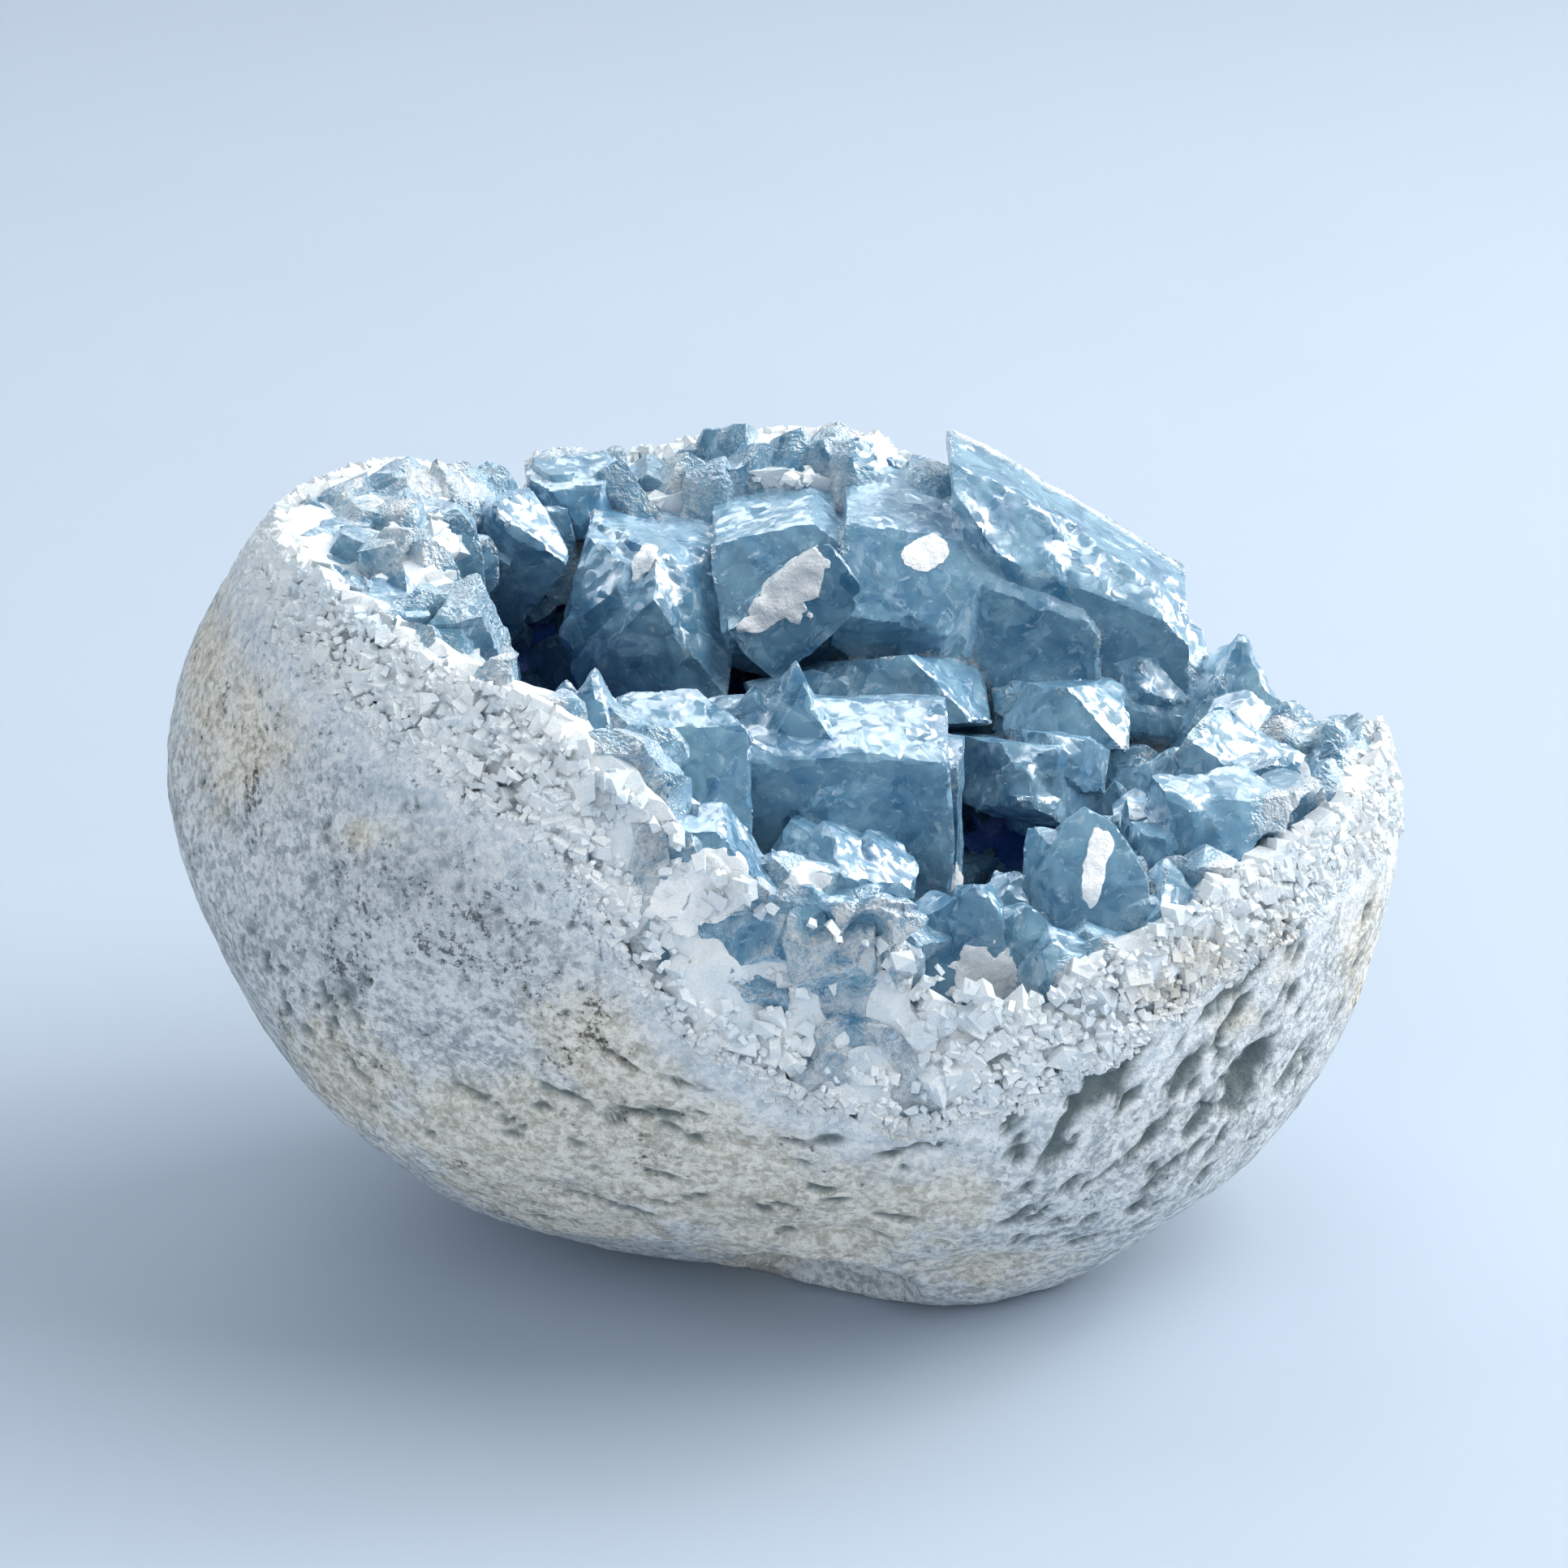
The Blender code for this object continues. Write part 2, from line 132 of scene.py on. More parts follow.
@dataclass(frozen=True)
class Egg:
    """The whole egg as it was before it was broken: an ellipsoid with a tilt, broad waves and single swellings."""

    half: Point = (64.0, 50.0, 51.2)
    tilt: float = math.radians(12.0)
    centre: Point = (-0.3, 0.0, 47.9)
    waves: tuple = (
        (0.55, 62.0, (1.0, 0.4, 0.2), 0.3),
        (0.45, 41.0, (-0.3, 1.0, 0.5), 1.9),
        (0.35, 29.0, (0.6, -0.5, 1.0), 4.1),
        (0.22, 17.0, (0.9, 0.8, -0.6), 2.7),
    )
    swellings: tuple = (
        ((62.0, 0.0, 54.0), 9.0, 0.9),
        ((43.0, -25.0, 14.0), 13.0, 1.7),
        ((25.0, -15.0, 2.0), 9.0, 2.0),
        ((-8.0, -26.0, 5.0), 12.0, -2.2),
        ((-62.0, -5.0, 64.0), 11.0, -1.1),
        ((10.0, 46.0, 30.0), 16.0, -1.4),
    )

    def frame(self) -> Array:
        """The egg's own axes as columns: X and Z turned about Y by the tilt."""
        c, s = math.cos(self.tilt), math.sin(self.tilt)
        return np.array([[c, 0, s], [0, 1, 0], [-s, 0, c]])

    def relief(self, points: Array) -> Array:
        """How far the skin stands out: a sum of sine waves and of bell-shaped swellings."""
        out = np.zeros(points.shape[:-1])
        for height, length, way, phase in self.waves:
            out += height * np.sin(points @ unit(np.array(way)) * TURN / length + phase)
        for centre, width, height in self.swellings:
            out += height * bell(np.linalg.norm(points - np.array(centre), axis=-1), width)
        return out

    def skin(self, rays: Array) -> Array:
        """Where rays from the egg's middle meet its skin.

        Args:
            rays: unit directions, in rows of three.

        Returns:
            The ellipsoid's point on each ray, moved out along the ray by the relief there.
        """
        own = rays @ self.frame()
        reach = 1 / np.linalg.norm(own / np.array(self.half), axis=-1)
        points = rays * reach[..., None] + np.array(self.centre)
        return points + rays * self.relief(points)[..., None]

    def outside(self, points: Array) -> tuple[Array, Array]:
        """How far points are outside the skin, and which way is out.

        The distance is the ray's length past the skin, times the cosine between the ray and the skin's normal.

        Args:
            points: positions, in rows of three.

        Returns:
            The distance, negative inside, and the unit normals.
        """
        half = np.array(self.half)
        own = (points - np.array(self.centre)) @ self.frame()
        size = np.linalg.norm(own / half, axis=-1)
        onto = own / half / np.maximum(size, 1e-6)[..., None]
        reach = np.linalg.norm(onto * half, axis=-1)
        steep = np.linalg.norm(onto / half, axis=-1)
        away = (size - 1) * reach - self.relief(points)
        return away / (reach * steep), unit(onto / half) @ self.frame().T


EGG = Egg()


@dataclass(frozen=True)
class Break:
    """The broken top: going round from the right side past the back, an angle and the two tops in millimetres."""

    table: tuple = (
        (0, 50, 58), (10, 46, 52), (22, 44, 49), (40, 47, 52), (60, 60, 66), (75, 66, 76.5), (90, 68, 76.5),
        (104, 68, 75), (120, 66, 72.5), (129, 64, 68), (136, 67, 73), (150, 74, 79), (185, 78, 82), (202, 76, 81),
        (212, 73, 79), (222, 70, 77), (238, 65, 75), (247, 59, 71), (253, 50, 67), (260, 43, 62), (271, 37, 57),
        (285, 33, 52), (297, 35, 45), (308, 39, 50), (322, 45, 54), (340, 50, 56),
    )
    middle: float = 66.0
    middle_radius: float = 22.0

    def rim(self, angle: Array, column: int) -> Array:
        """The table's height at an angle in degrees, in a straight line between its rows."""
        rows = np.array(self.table, float)
        return np.interp(angle, rows[:, 0], rows[:, column], period=360)

    def height(self, x: Array, y: Array, column: int) -> Array:
        """The broken top over a point of the floor: the rim's height, eased to the middle's height inside a circle.

        Args:
            x: across.
            y: to the back.
            column: 1 for the stone, 2 for the crust.

        Returns:
            Height above the floor.
        """
        rim = self.rim(np.degrees(np.arctan2(y, x)) % 360, column)
        return self.middle + (rim - self.middle) * smooth(np.hypot(x, y) / self.middle_radius)

    def over(self, points: Array, column: int) -> Array:
        """How far points are above the broken top."""
        return points[..., 2] - self.height(points[..., 0], points[..., 1], column)

    @staticmethod
    def torn(points: Array) -> Array:
        """How far the stone's ragged edge is above or below the broken top."""
        return 1.3 * noise(points, 4.2, 33) + 0.7 * noise(points, 1.5, 34)


BREAK = Break()
STONE_TOP = 1
CRUST_TOP = 2


@dataclass
class Space:
    """An uneven round space: a ball stretched to half sizes, its surface pushed in and out by random hills."""

    centre: Point
    half: Point
    rough: float
    cell: float = 6.0
    seed: int = 5

    def outside(self, points: Array) -> Array:
        """Distance outside the space, as the stretched radius less 1, times the mean half size."""
        own = (points - np.array(self.centre)) / np.array(self.half)
        size = np.linalg.norm(own, axis=-1)
        mean = float(np.mean(self.half))
        return (size - 1) * mean + self.rough * mean * noise(points, self.cell, self.seed)


HOLLOW = Space((3.0, 0.0, 60.0), (47.0, 34.0, 36.0), 0.06, 7.0)
DEEP_GAP = Space((-24.0, -11.0, 67.0), (9.5, 23.5, 18.0), 0.05, 6.0)
POCKET = Space((19.5, -46.0, 46.5), (7.5, 12.0, 8.5), 0.08, 4.0)
FOOT_ARCH = Space((2.5, -30.5, 2.0), (12.5, 13.5, 11.0), 0.06, 4.0)


class Habit(Enum):
    """How a crystal's tip is cut. Each plane is its slope across, its slope through, and how far it is dropped."""

    BLOCK = ((0.10, 0.06, 0.0), (1.3, 1.1, -0.55), (-1.2, 0.9, -0.60))
    CHISEL = ((0.75, 0.05, 0.0), (-0.75, 0.05, 0.0), (0.0, 1.2, -0.35))
    WEDGE = ((0.05, 0.85, 0.0), (0.05, -0.70, 0.0), (1.1, 0.0, -0.42))
    SLANT = ((0.55, 0.25, 0.0), (-0.9, 0.0, -0.30))
    SPIRE = ((1.9, 0.2, 0.0), (-1.7, 0.2, 0.0), (0.1, 2.0, -0.20), (0.1, -1.8, -0.24))
    DOME = ((0.7, 0.2, 0.0), (-0.7, 0.2, 0.0), (0.1, 0.8, 0.0), (1.6, 0.2, -0.4), (-1.6, 0.1, -0.4), (0, -1.7, -0.4))
    ROOF = ((0.05, 0.42, 0.0), (0.06, -0.3, 0.0), (-1.2, -0.3, -0.75))
    RAMP = ((0.62, 0.10, 0.0), (0.45, -0.85, -0.45), (1.3, -0.4, -0.75))
    PLATE = ((0.85, 0.0, 0.0), (-0.5, 0.0, 0.0))


@dataclass(frozen=True)
class Crystal:
    """One crystal: the middles of its foot and tip, its size across and through, its turn in degrees, its habit."""

    foot: Point
    tip: Point
    across: float
    through: float
    turn: float
    habit: Habit

    def axes(self) -> Array:
        """The crystal's own axes as rows: across, through and up, turned about the last."""
        up = unit(np.array(self.tip, float) - np.array(self.foot, float))
        level = np.array([1.0, 0, 0]) if abs(up[0]) < 0.8 else np.array([0, 0, 1.0])
        side = unit(level - up * level.dot(up))
        deep = np.cross(up, side)
        c, s = math.cos(math.radians(self.turn)), math.sin(math.radians(self.turn))
        return np.array([side * c + deep * s, deep * c - side * s, up])

    def length(self) -> float:
        """From foot to tip."""
        return float(np.linalg.norm(np.array(self.tip, float) - np.array(self.foot, float)))

    def planes(self) -> tuple[Array, Array]:
        """The crystal's faces: four sides, the foot, the planes of its tip and two long corners.

        Returns:
            Unit normals in the drawing's frame, and each plane's distance from the foot along its normal.
        """
        wide, deep, length = self.across / 2, self.through / 2, self.length()
        rows = [((1, 0, 0), wide), ((-1, 0, 0), wide), ((0, 1, 0), deep), ((0, -1, 0), deep), ((0, 0, -1), 0.0)]
        rows += [((a, t, 1.0), length - drop * wide) for a, t, drop in self.habit.value]
        rows.append(((deep, wide * 1.1, 0), deep * wide * 0.62 + wide * 1.1 * deep))
        rows.append(((-deep, -wide * 0.9, 0), deep * wide * 0.62 + wide * 0.9 * deep))
        normals = np.array([normal for normal, _ in rows], float)
        size = np.linalg.norm(normals, axis=1)
        return (normals / size[:, None]) @ self.axes(), np.array([far for _, far in rows]) / size

    def grown(self, shift: Array, size: float, length: float, turn: float) -> "Crystal":
        """A smaller crystal that grows beside this one: moved by a vector, and its sizes times these shares."""
        foot = np.array(self.foot, float) + shift
        tip = foot + (np.array(self.tip, float) - np.array(self.foot, float)) * length
        return Crystal(tuple(foot), tuple(tip), self.across * size, self.through * size, self.turn + turn, self.habit)


LEFT_WALL = (
    Crystal((-45, -15, 60), (-43, -20, 80), 14, 12, 15, Habit.BLOCK),
    Crystal((-46, -4, 60), (-37, -5, 77), 12, 11, 0, Habit.DOME),
    Crystal((-44, 14, 60), (-34, 8, 78.5), 12, 11, 8, Habit.DOME),
    Crystal((-36, 26, 58), (-26.5, 17, 75), 10, 10, -12, Habit.BLOCK),
    Crystal((-42, 2, 56), (-28, 5, 62), 10, 9, 20, Habit.BLOCK),
    Crystal((-43, -18, 62), (-35, -20, 76), 9, 8, 40, Habit.SPIRE),
    Crystal((-45, 6, 66), (-43, 4, 82), 14, 12, 25, Habit.DOME),
    Crystal((-37, -28, 60), (-34, -27, 77), 9, 8, 10, Habit.CHISEL),
    Crystal((-50, 0, 60), (-50, -3, 80), 11, 11, 0, Habit.BLOCK),
    Crystal((-43, -10, 54), (-32, -12, 70), 10, 9, 30, Habit.CHISEL),
)
BACK_WALL = (
    Crystal((-23, 46, 72), (-22.5, 27, 69.5), 11, 7, 5, Habit.DOME),
    Crystal((-12, 44, 60.5), (-14, 11, 62), 17, 17, -6, Habit.BLOCK),
    Crystal((0, 44, 65), (0.5, 13, 63.5), 14, 16, 10, Habit.WEDGE),
    Crystal((-4, 12.5, 61), (6, 13, 71), 7, 3.5, 0, Habit.BLOCK),
    Crystal((13.5, 44, 65.5), (13.5, 12, 64), 17, 15.5, -10, Habit.WEDGE),
    Crystal((12, 28, 50), (12, 7, 58), 19, 8, 4, Habit.BLOCK),
    Crystal((0, 28, 48), (1, 8, 57), 9, 6, 12, Habit.WEDGE),
    Crystal((31, 30, 46), (30.5, 27, 71.5), 25, 22, 0, Habit.RAMP),
    Crystal((12, 42, 66), (10, 37, 75), 9, 7, 0, Habit.DOME),
    Crystal((-2, 42, 62), (-2, 38, 74.5), 13, 9, 8, Habit.DOME),
    Crystal((-14, 42, 60), (-14, 38, 73), 13, 8, -10, Habit.SLANT),
)
RIGHT_WALL = (
    Crystal((31, 30, 49), (29.5, 9, 54.5), 13, 7, 0, Habit.BLOCK),
    Crystal((39, 34, 52), (37.5, 15, 55.5), 15, 9, 12, Habit.DOME),
    Crystal((26, 20, 44), (24.5, -3, 51.5), 16, 8, -6, Habit.DOME),
    Crystal((47, 20, 42), (48.5, 20, 60), 12, 12, 20, Habit.SPIRE),
    Crystal((58, 10, 40), (52.5, 7, 50), 9, 9, 15, Habit.CHISEL),
    Crystal((43, 6, 36), (41, 0, 54), 8, 6, 25, Habit.CHISEL),
    Crystal((36, 6, 34), (34.5, 2, 50.5), 7, 7, -20, Habit.SPIRE),
    Crystal((31, -32, 38), (29.5, -28, 59.5), 12, 11, -5, Habit.DOME),
    Crystal((46, -27, 42), (42.5, -21, 61), 13, 10, 18, Habit.WEDGE),
    Crystal((54, -21, 40), (49.5, -19, 59), 11, 10, -12, Habit.BLOCK),
    Crystal((38, -35, 40), (37.5, -31, 56), 9, 8, 30, Habit.SPIRE),
    Crystal((58, -6, 42), (54.5, -6, 57), 9, 9, 12, Habit.CHISEL),
    Crystal((60, 1, 44), (60, -1, 59), 7, 8, 0, Habit.CHISEL),
    Crystal((60, -12, 42), (58.5, -12, 57), 9, 8, 30, Habit.SLANT),
)
FRONT_WALL = (
    Crystal((4, -17, 32), (3.3, -20, 68), 25, 17, 5, Habit.ROOF),
    Crystal((-27, -36, 60), (-27, -33, 76), 8, 7, 12, Habit.SPIRE),
    Crystal((-19, -36, 60), (-18.5, -32, 76), 9, 7, -25, Habit.SPIRE),
    Crystal((1, -20, 55), (1, -22, 72.5), 11, 6, 5, Habit.SPIRE),
    Crystal((-10, -32, 52), (-11, -27, 71.5), 12, 9, 15, Habit.WEDGE),
    Crystal((-12, -38, 42), (-6, -41, 64), 16, 7, 0, Habit.PLATE),
    Crystal((-16, -44, 45), (-17, -43, 64), 9, 7, 20, Habit.BLOCK),
    Crystal((-8, -44, 52), (14, -45, 55.5), 5.5, 5, 0, Habit.SPIRE),
    Crystal((7, -36, 34), (9, -40.5, 52), 10, 8, -15, Habit.CHISEL),
    Crystal((-5, -42, 36), (-5, -46, 51), 9, 6, -25, Habit.CHISEL),
    Crystal((5, -40, 30), (6.5, -47, 45), 12, 7, 8, Habit.BLOCK),
    Crystal((13, -38, 36), (15.5, -36, 54), 5.5, 5, 20, Habit.SLANT),
    Crystal((19, -34, 40), (18, -38, 56), 5.5, 5, 0, Habit.DOME),
    Crystal((22, -33, 40), (23, -37, 53), 5, 4.5, 30, Habit.DOME),
    Crystal((-6, -40, 28), (-4, -48, 40), 10, 7, 30, Habit.DOME),
    Crystal((27, -36, 32), (28, -43, 43), 10, 7, -20, Habit.SLANT),
    Crystal((10, -38, 26), (12, -46, 37), 9, 7, 10, Habit.BLOCK),
    Crystal((0, -40, 24), (1, -49, 36), 9, 7, -10, Habit.CHISEL),
    Crystal((18, -36, 28), (20, -45, 37), 8, 6, 25, Habit.SPIRE),
    Crystal((-10, -40, 34), (-12, -47, 48), 10, 7, 10, Habit.WEDGE),
    Crystal((33, -32, 36), (36, -38, 49), 9, 8, 10, Habit.BLOCK),
    Crystal((26, -33, 38), (27, -39, 50), 8, 7, 35, Habit.BLOCK),
    Crystal((41, -28, 38), (45, -31, 52), 8, 7, -10, Habit.DOME),
)


class Block:
    """A block of evenly spaced points, at which a shape is worked out as the distance to its surface.

    The distance is negative inside the shape. Each point also holds the normal of the face that is nearest to it.
    """

    # How firmly a corner point is held to the middle of the surface in its cube.
    hold = 0.06

    def __init__(self, low: Array, high: Array, step: float) -> None:
        """Sets out the points.

        Args:
            low: the lowest corner.
            high: the highest corner.
            step: the space between points.
        """
        self.step = step
        self.low = np.array(low, float)
        counts = np.ceil((np.array(high) - self.low) / step).astype(int) + 1
        self.axes = [self.low[a] + step * np.arange(counts[a]) for a in range(3)]
        self.far = np.full(tuple(counts), FAR, np.float32)
        self.out = np.zeros((*counts, 3), np.float32)
        self.out[..., 2] = 1

    def hills(self, cell: float, seed: int) -> Array:
        """Random hills at every point: a coarse random table, eased along each axis in turn.

        Args:
            cell: the table's spacing.
            seed: which random table is made.

        Returns:
            One value from -1 to 1 for each point.
        """
        weights = []
        for axis in self.axes:
            spot = (axis - axis[0]) / cell
            low = np.floor(spot).astype(int)
            part = smooth(spot - low)
            weight = np.zeros((len(axis), low[-1] + 2))
            weight[np.arange(len(axis)), low] = 1 - part
            weight[np.arange(len(axis)), low + 1] = part
            weights.append(weight)
        table = np.random.default_rng(seed).uniform(-1, 1, [w.shape[1] for w in weights])
        return np.einsum("xi,yj,zk,ijk->xyz", *weights, table, optimize=True).astype(np.float32)

    def window(self, low: Array, high: Array) -> tuple[slice, slice, slice]:
        """The part of the block between two corners, with a margin of two points."""
        parts = []
        for a in range(3):
            first = int((low[a] - self.low[a]) / self.step) - 2
            last = int((high[a] - self.low[a]) / self.step) + 4
            parts.append(slice(max(0, first), max(0, min(len(self.axes[a]), last))))
        return tuple(parts)

    def points(self, part: tuple[slice, slice, slice] = WHOLE) -> Array:
        """The positions of the points in a window."""
        return np.stack(np.meshgrid(*(self.axes[a][part[a]] for a in range(3)), indexing="ij"), axis=-1)

    def put(self, chosen: Array, far: Array, out: Array, part: tuple[slice, slice, slice] = WHOLE) -> None:
        """Sets the distances and normals at the chosen points of a window."""
        self.far[part] = np.where(chosen, far, self.far[part])
        self.out[part] = np.where(chosen[..., None], out, self.out[part])

    def keep_within(self, far: Array, out: Array | None = None) -> None:
        """Keeps what is also inside another shape: the greater of the two distances.

        Args:
            far: distances to the other shape.
            out: its normals, or None to work them out from the distances.
        """
        self.put(far > self.far, far, self.slopes(far) if out is None else out)

    def at(self, points: Array) -> Array:
        """The distance at any points, in a straight line between the block's own; far outside the block.

        Args:
            points: positions, in rows of three.

        Returns:
            One distance for each point.
        """
        spot = (points - self.low) / self.step
        top = np.array(self.far.shape) - 2
        inside = ((spot >= 0) & (spot < top)).all(axis=-1)
        low = np.clip(np.floor(spot).astype(int), 0, top)
        return np.where(inside, between(self.far, low, np.clip(spot - low, 0, 1)), FAR)

    def chip_away(self, seed: int, count: int, gap: float, tilt: float = 0.42, reach: float = 4.6) -> None:
        """Strikes flat chips off whatever stands near the egg's skin.

        A chip is a plane through a point just inside the skin, leaned at random from the skin's own. It fades with
        the fourth power of the distance from that point.

        Args:
            seed: what the chips' places are drawn from.
            count: how many chips there are round the whole egg.
            gap: how far under the skin the planes start.
            tilt: how much they lean.
            reach: how far each chip goes.
        """
        chance = np.random.default_rng(seed)
        angle = chance.uniform(0, TURN, count)
        degrees = np.degrees(angle) % 360
        low, high = BREAK.rim(degrees, STONE_TOP), BREAK.rim(degrees, CRUST_TOP)
        spots, _ = on_skin(angle, low + (high + 2 - low) * chance.uniform(0, 1, count))
        _, out = EGG.outside(spots)
        depth = gap + chance.uniform(0, 1.3, count)
        ways = unit(out + tilt * chance.normal(size=out.shape))
        for spot, way in zip(spots - out * depth[:, None], ways):
            part = self.window(spot - reach * 1.4, spot + reach * 1.4)
            if min(self.far[part].shape) == 0:
                continue
            offset = self.points(part) - spot
            far = offset @ way - 2.2 * (np.linalg.norm(offset, axis=-1) / reach) ** 4
            self.put(far > self.far[part], far, way, part)

    def slopes(self, far: Array) -> Array:
        """Normals of a shape that is known only by its distances: their differences from point to point."""
        return unit(np.stack(np.gradient(far, self.step), axis=-1))

    def surface(self) -> tuple[Array, Array]:
        """The shape's surface, with sharp edges where its faces meet.

        A corner point is placed in each small cube that the surface passes through: where the planes that cross the
        cube's edges come nearest to meeting. Each crossed edge gives the four-sided face of the four cubes round it.

        Returns:
            Corner points, and faces as rows of four point numbers.
        """
        inside = self.far < 0
        total = sum(inside[tuple(slice(c, c - 1 or None) for c in corner)].astype(np.int8)
                    for corner in np.ndindex(2, 2, 2))
        active = (total > 0) & (total < 8)
        index = np.full(active.shape, -1, np.int32)
        index[active] = np.arange(active.sum())
        count = int(active.sum())
        sums = np.zeros((13, count))
        faces = []
        for a in range(3):
            b, c = (a + 1) % 3, (a + 2) % 3
            first, second = [slice(1, -1)] * 3, [slice(1, -1)] * 3
            first[a], second[a] = slice(0, -1), slice(1, None)
            start = np.array(np.nonzero(inside[tuple(first)] != inside[tuple(second)])).T
            start += np.array([0 if axis == a else 1 for axis in range(3)])
            end = start + np.eye(3, dtype=int)[a]
            far_0, far_1 = self.far[tuple(start.T)], self.far[tuple(end.T)]
            share = (far_0 / (far_0 - far_1)).astype(float)
            place = self.low + self.step * (start + share[:, None] * np.eye(3)[a])
            near = np.where((share < 0.5)[:, None], start, end)
            out = self.out[tuple(near.T)].astype(float)
            along = (out * place).sum(axis=1)
            x, y, z = out.T
            squares = [x * x, x * y, x * z, y * y, y * z, z * z]
            rows = [*squares, x * along, y * along, z * along, *place.T, np.ones(len(x))]
            corners = []
            for back_b, back_c in ((0, 0), (1, 0), (1, 1), (0, 1)):
                cube = start - back_b * np.eye(3, dtype=int)[b] - back_c * np.eye(3, dtype=int)[c]
                number = index[tuple(cube.T)]
                corners.append(number)
                for row, values in enumerate(rows):
                    sums[row] += np.bincount(number, values, count)
            four = np.stack(corners, axis=1)
            turned = inside[tuple(start.T)]
            faces.append(np.where(turned[:, None], four[:, ::-1], four))
        xx, xy, xz, yy, yz, zz, bx, by, bz, px, py, pz, hits = sums
        mean = np.stack([px, py, pz], axis=1) / np.maximum(hits, 1)[:, None]
        square = np.stack([xx, xy, xz, xy, yy, yz, xz, yz, zz], axis=1).reshape(-1, 3, 3)
        rest = np.stack([bx, by, bz], axis=1) - np.einsum("nij,nj->ni", square, mean)
        move = np.linalg.solve(square + self.hold * np.eye(3), rest[..., None])[..., 0]
        cubes = np.array(np.nonzero(active)).T * self.step + self.low
        return np.clip(mean + move, cubes, cubes + self.step), np.concatenate(faces)


def tidy_faces(points: Array, faces: Array) -> tuple[Array, Array]:
    """Drops the points that no face uses, and numbers the rest again."""
    used, numbers = np.unique(faces, return_inverse=True)
    return points[used], numbers.reshape(faces.shape)


def make_piece(name: str, points: Array, *faces: Array) -> bpy.types.Object:
    """A mesh piece from points in millimetres of the drawing.

    Args:
        name: the piece's name.
        points: corner points, in rows of three.
        faces: arrays of point numbers, each in rows of three or four.

    Returns:
        The object, linked to the scene, at the origin.
    """
    mesh = bpy.data.meshes.new(name)
    sides = np.concatenate([np.full(len(rows), rows.shape[1]) for rows in faces])
    corners = np.concatenate([rows.ravel() for rows in faces])
    mesh.vertices.add(len(points))
    placed = np.clip(points - DRAWN_MIDDLE, PART_LOW, PART_HIGH) * MM
    mesh.vertices.foreach_set("co", placed.astype(np.float32).ravel())
    mesh.loops.add(len(corners))
    mesh.loops.foreach_set("vertex_index", corners.astype(np.int32))
    mesh.polygons.add(len(sides))
    mesh.polygons.foreach_set("loop_start", (np.cumsum(sides) - sides).astype(np.int32))
    mesh.polygons.foreach_set("loop_total", sides.astype(np.int32))
    mesh.update(calc_edges=True)
    mesh.validate()
    piece = bpy.data.objects.new(name, mesh)
    bpy.context.scene.collection.objects.link(piece)
    return piece


def drawn_points(piece: bpy.types.Object) -> tuple[Array, Array]:
    """A piece's points in millimetres of the drawing, and their normals."""
    mesh = piece.data
    points, normals = np.zeros(len(mesh.vertices) * 3), np.zeros(len(mesh.vertices) * 3)
    mesh.vertices.foreach_get("co", points)
    mesh.vertex_normals.foreach_get("vector", normals)
    return points.reshape(-1, 3) / MM + DRAWN_MIDDLE, normals.reshape(-1, 3)


def keep_values(piece: bpy.types.Object, **values: Array) -> None:
    """Stores one number for each point, by the name that a material reads it by."""
    for key, numbers in values.items():
        stored = piece.data.attributes.new(key, "FLOAT", "POINT")
        stored.data.foreach_set("value", numbers.astype(np.float32))


def shade(piece: bpy.types.Object, angle: float) -> None:
    """Smooths the shading, but keeps edges sharp where faces meet at more than this angle in degrees."""
    piece.data.polygons.foreach_set("use_smooth", np.ones(len(piece.data.polygons), bool))
    piece.data.set_sharp_from_angle(angle=math.radians(angle))
    piece.data.update()


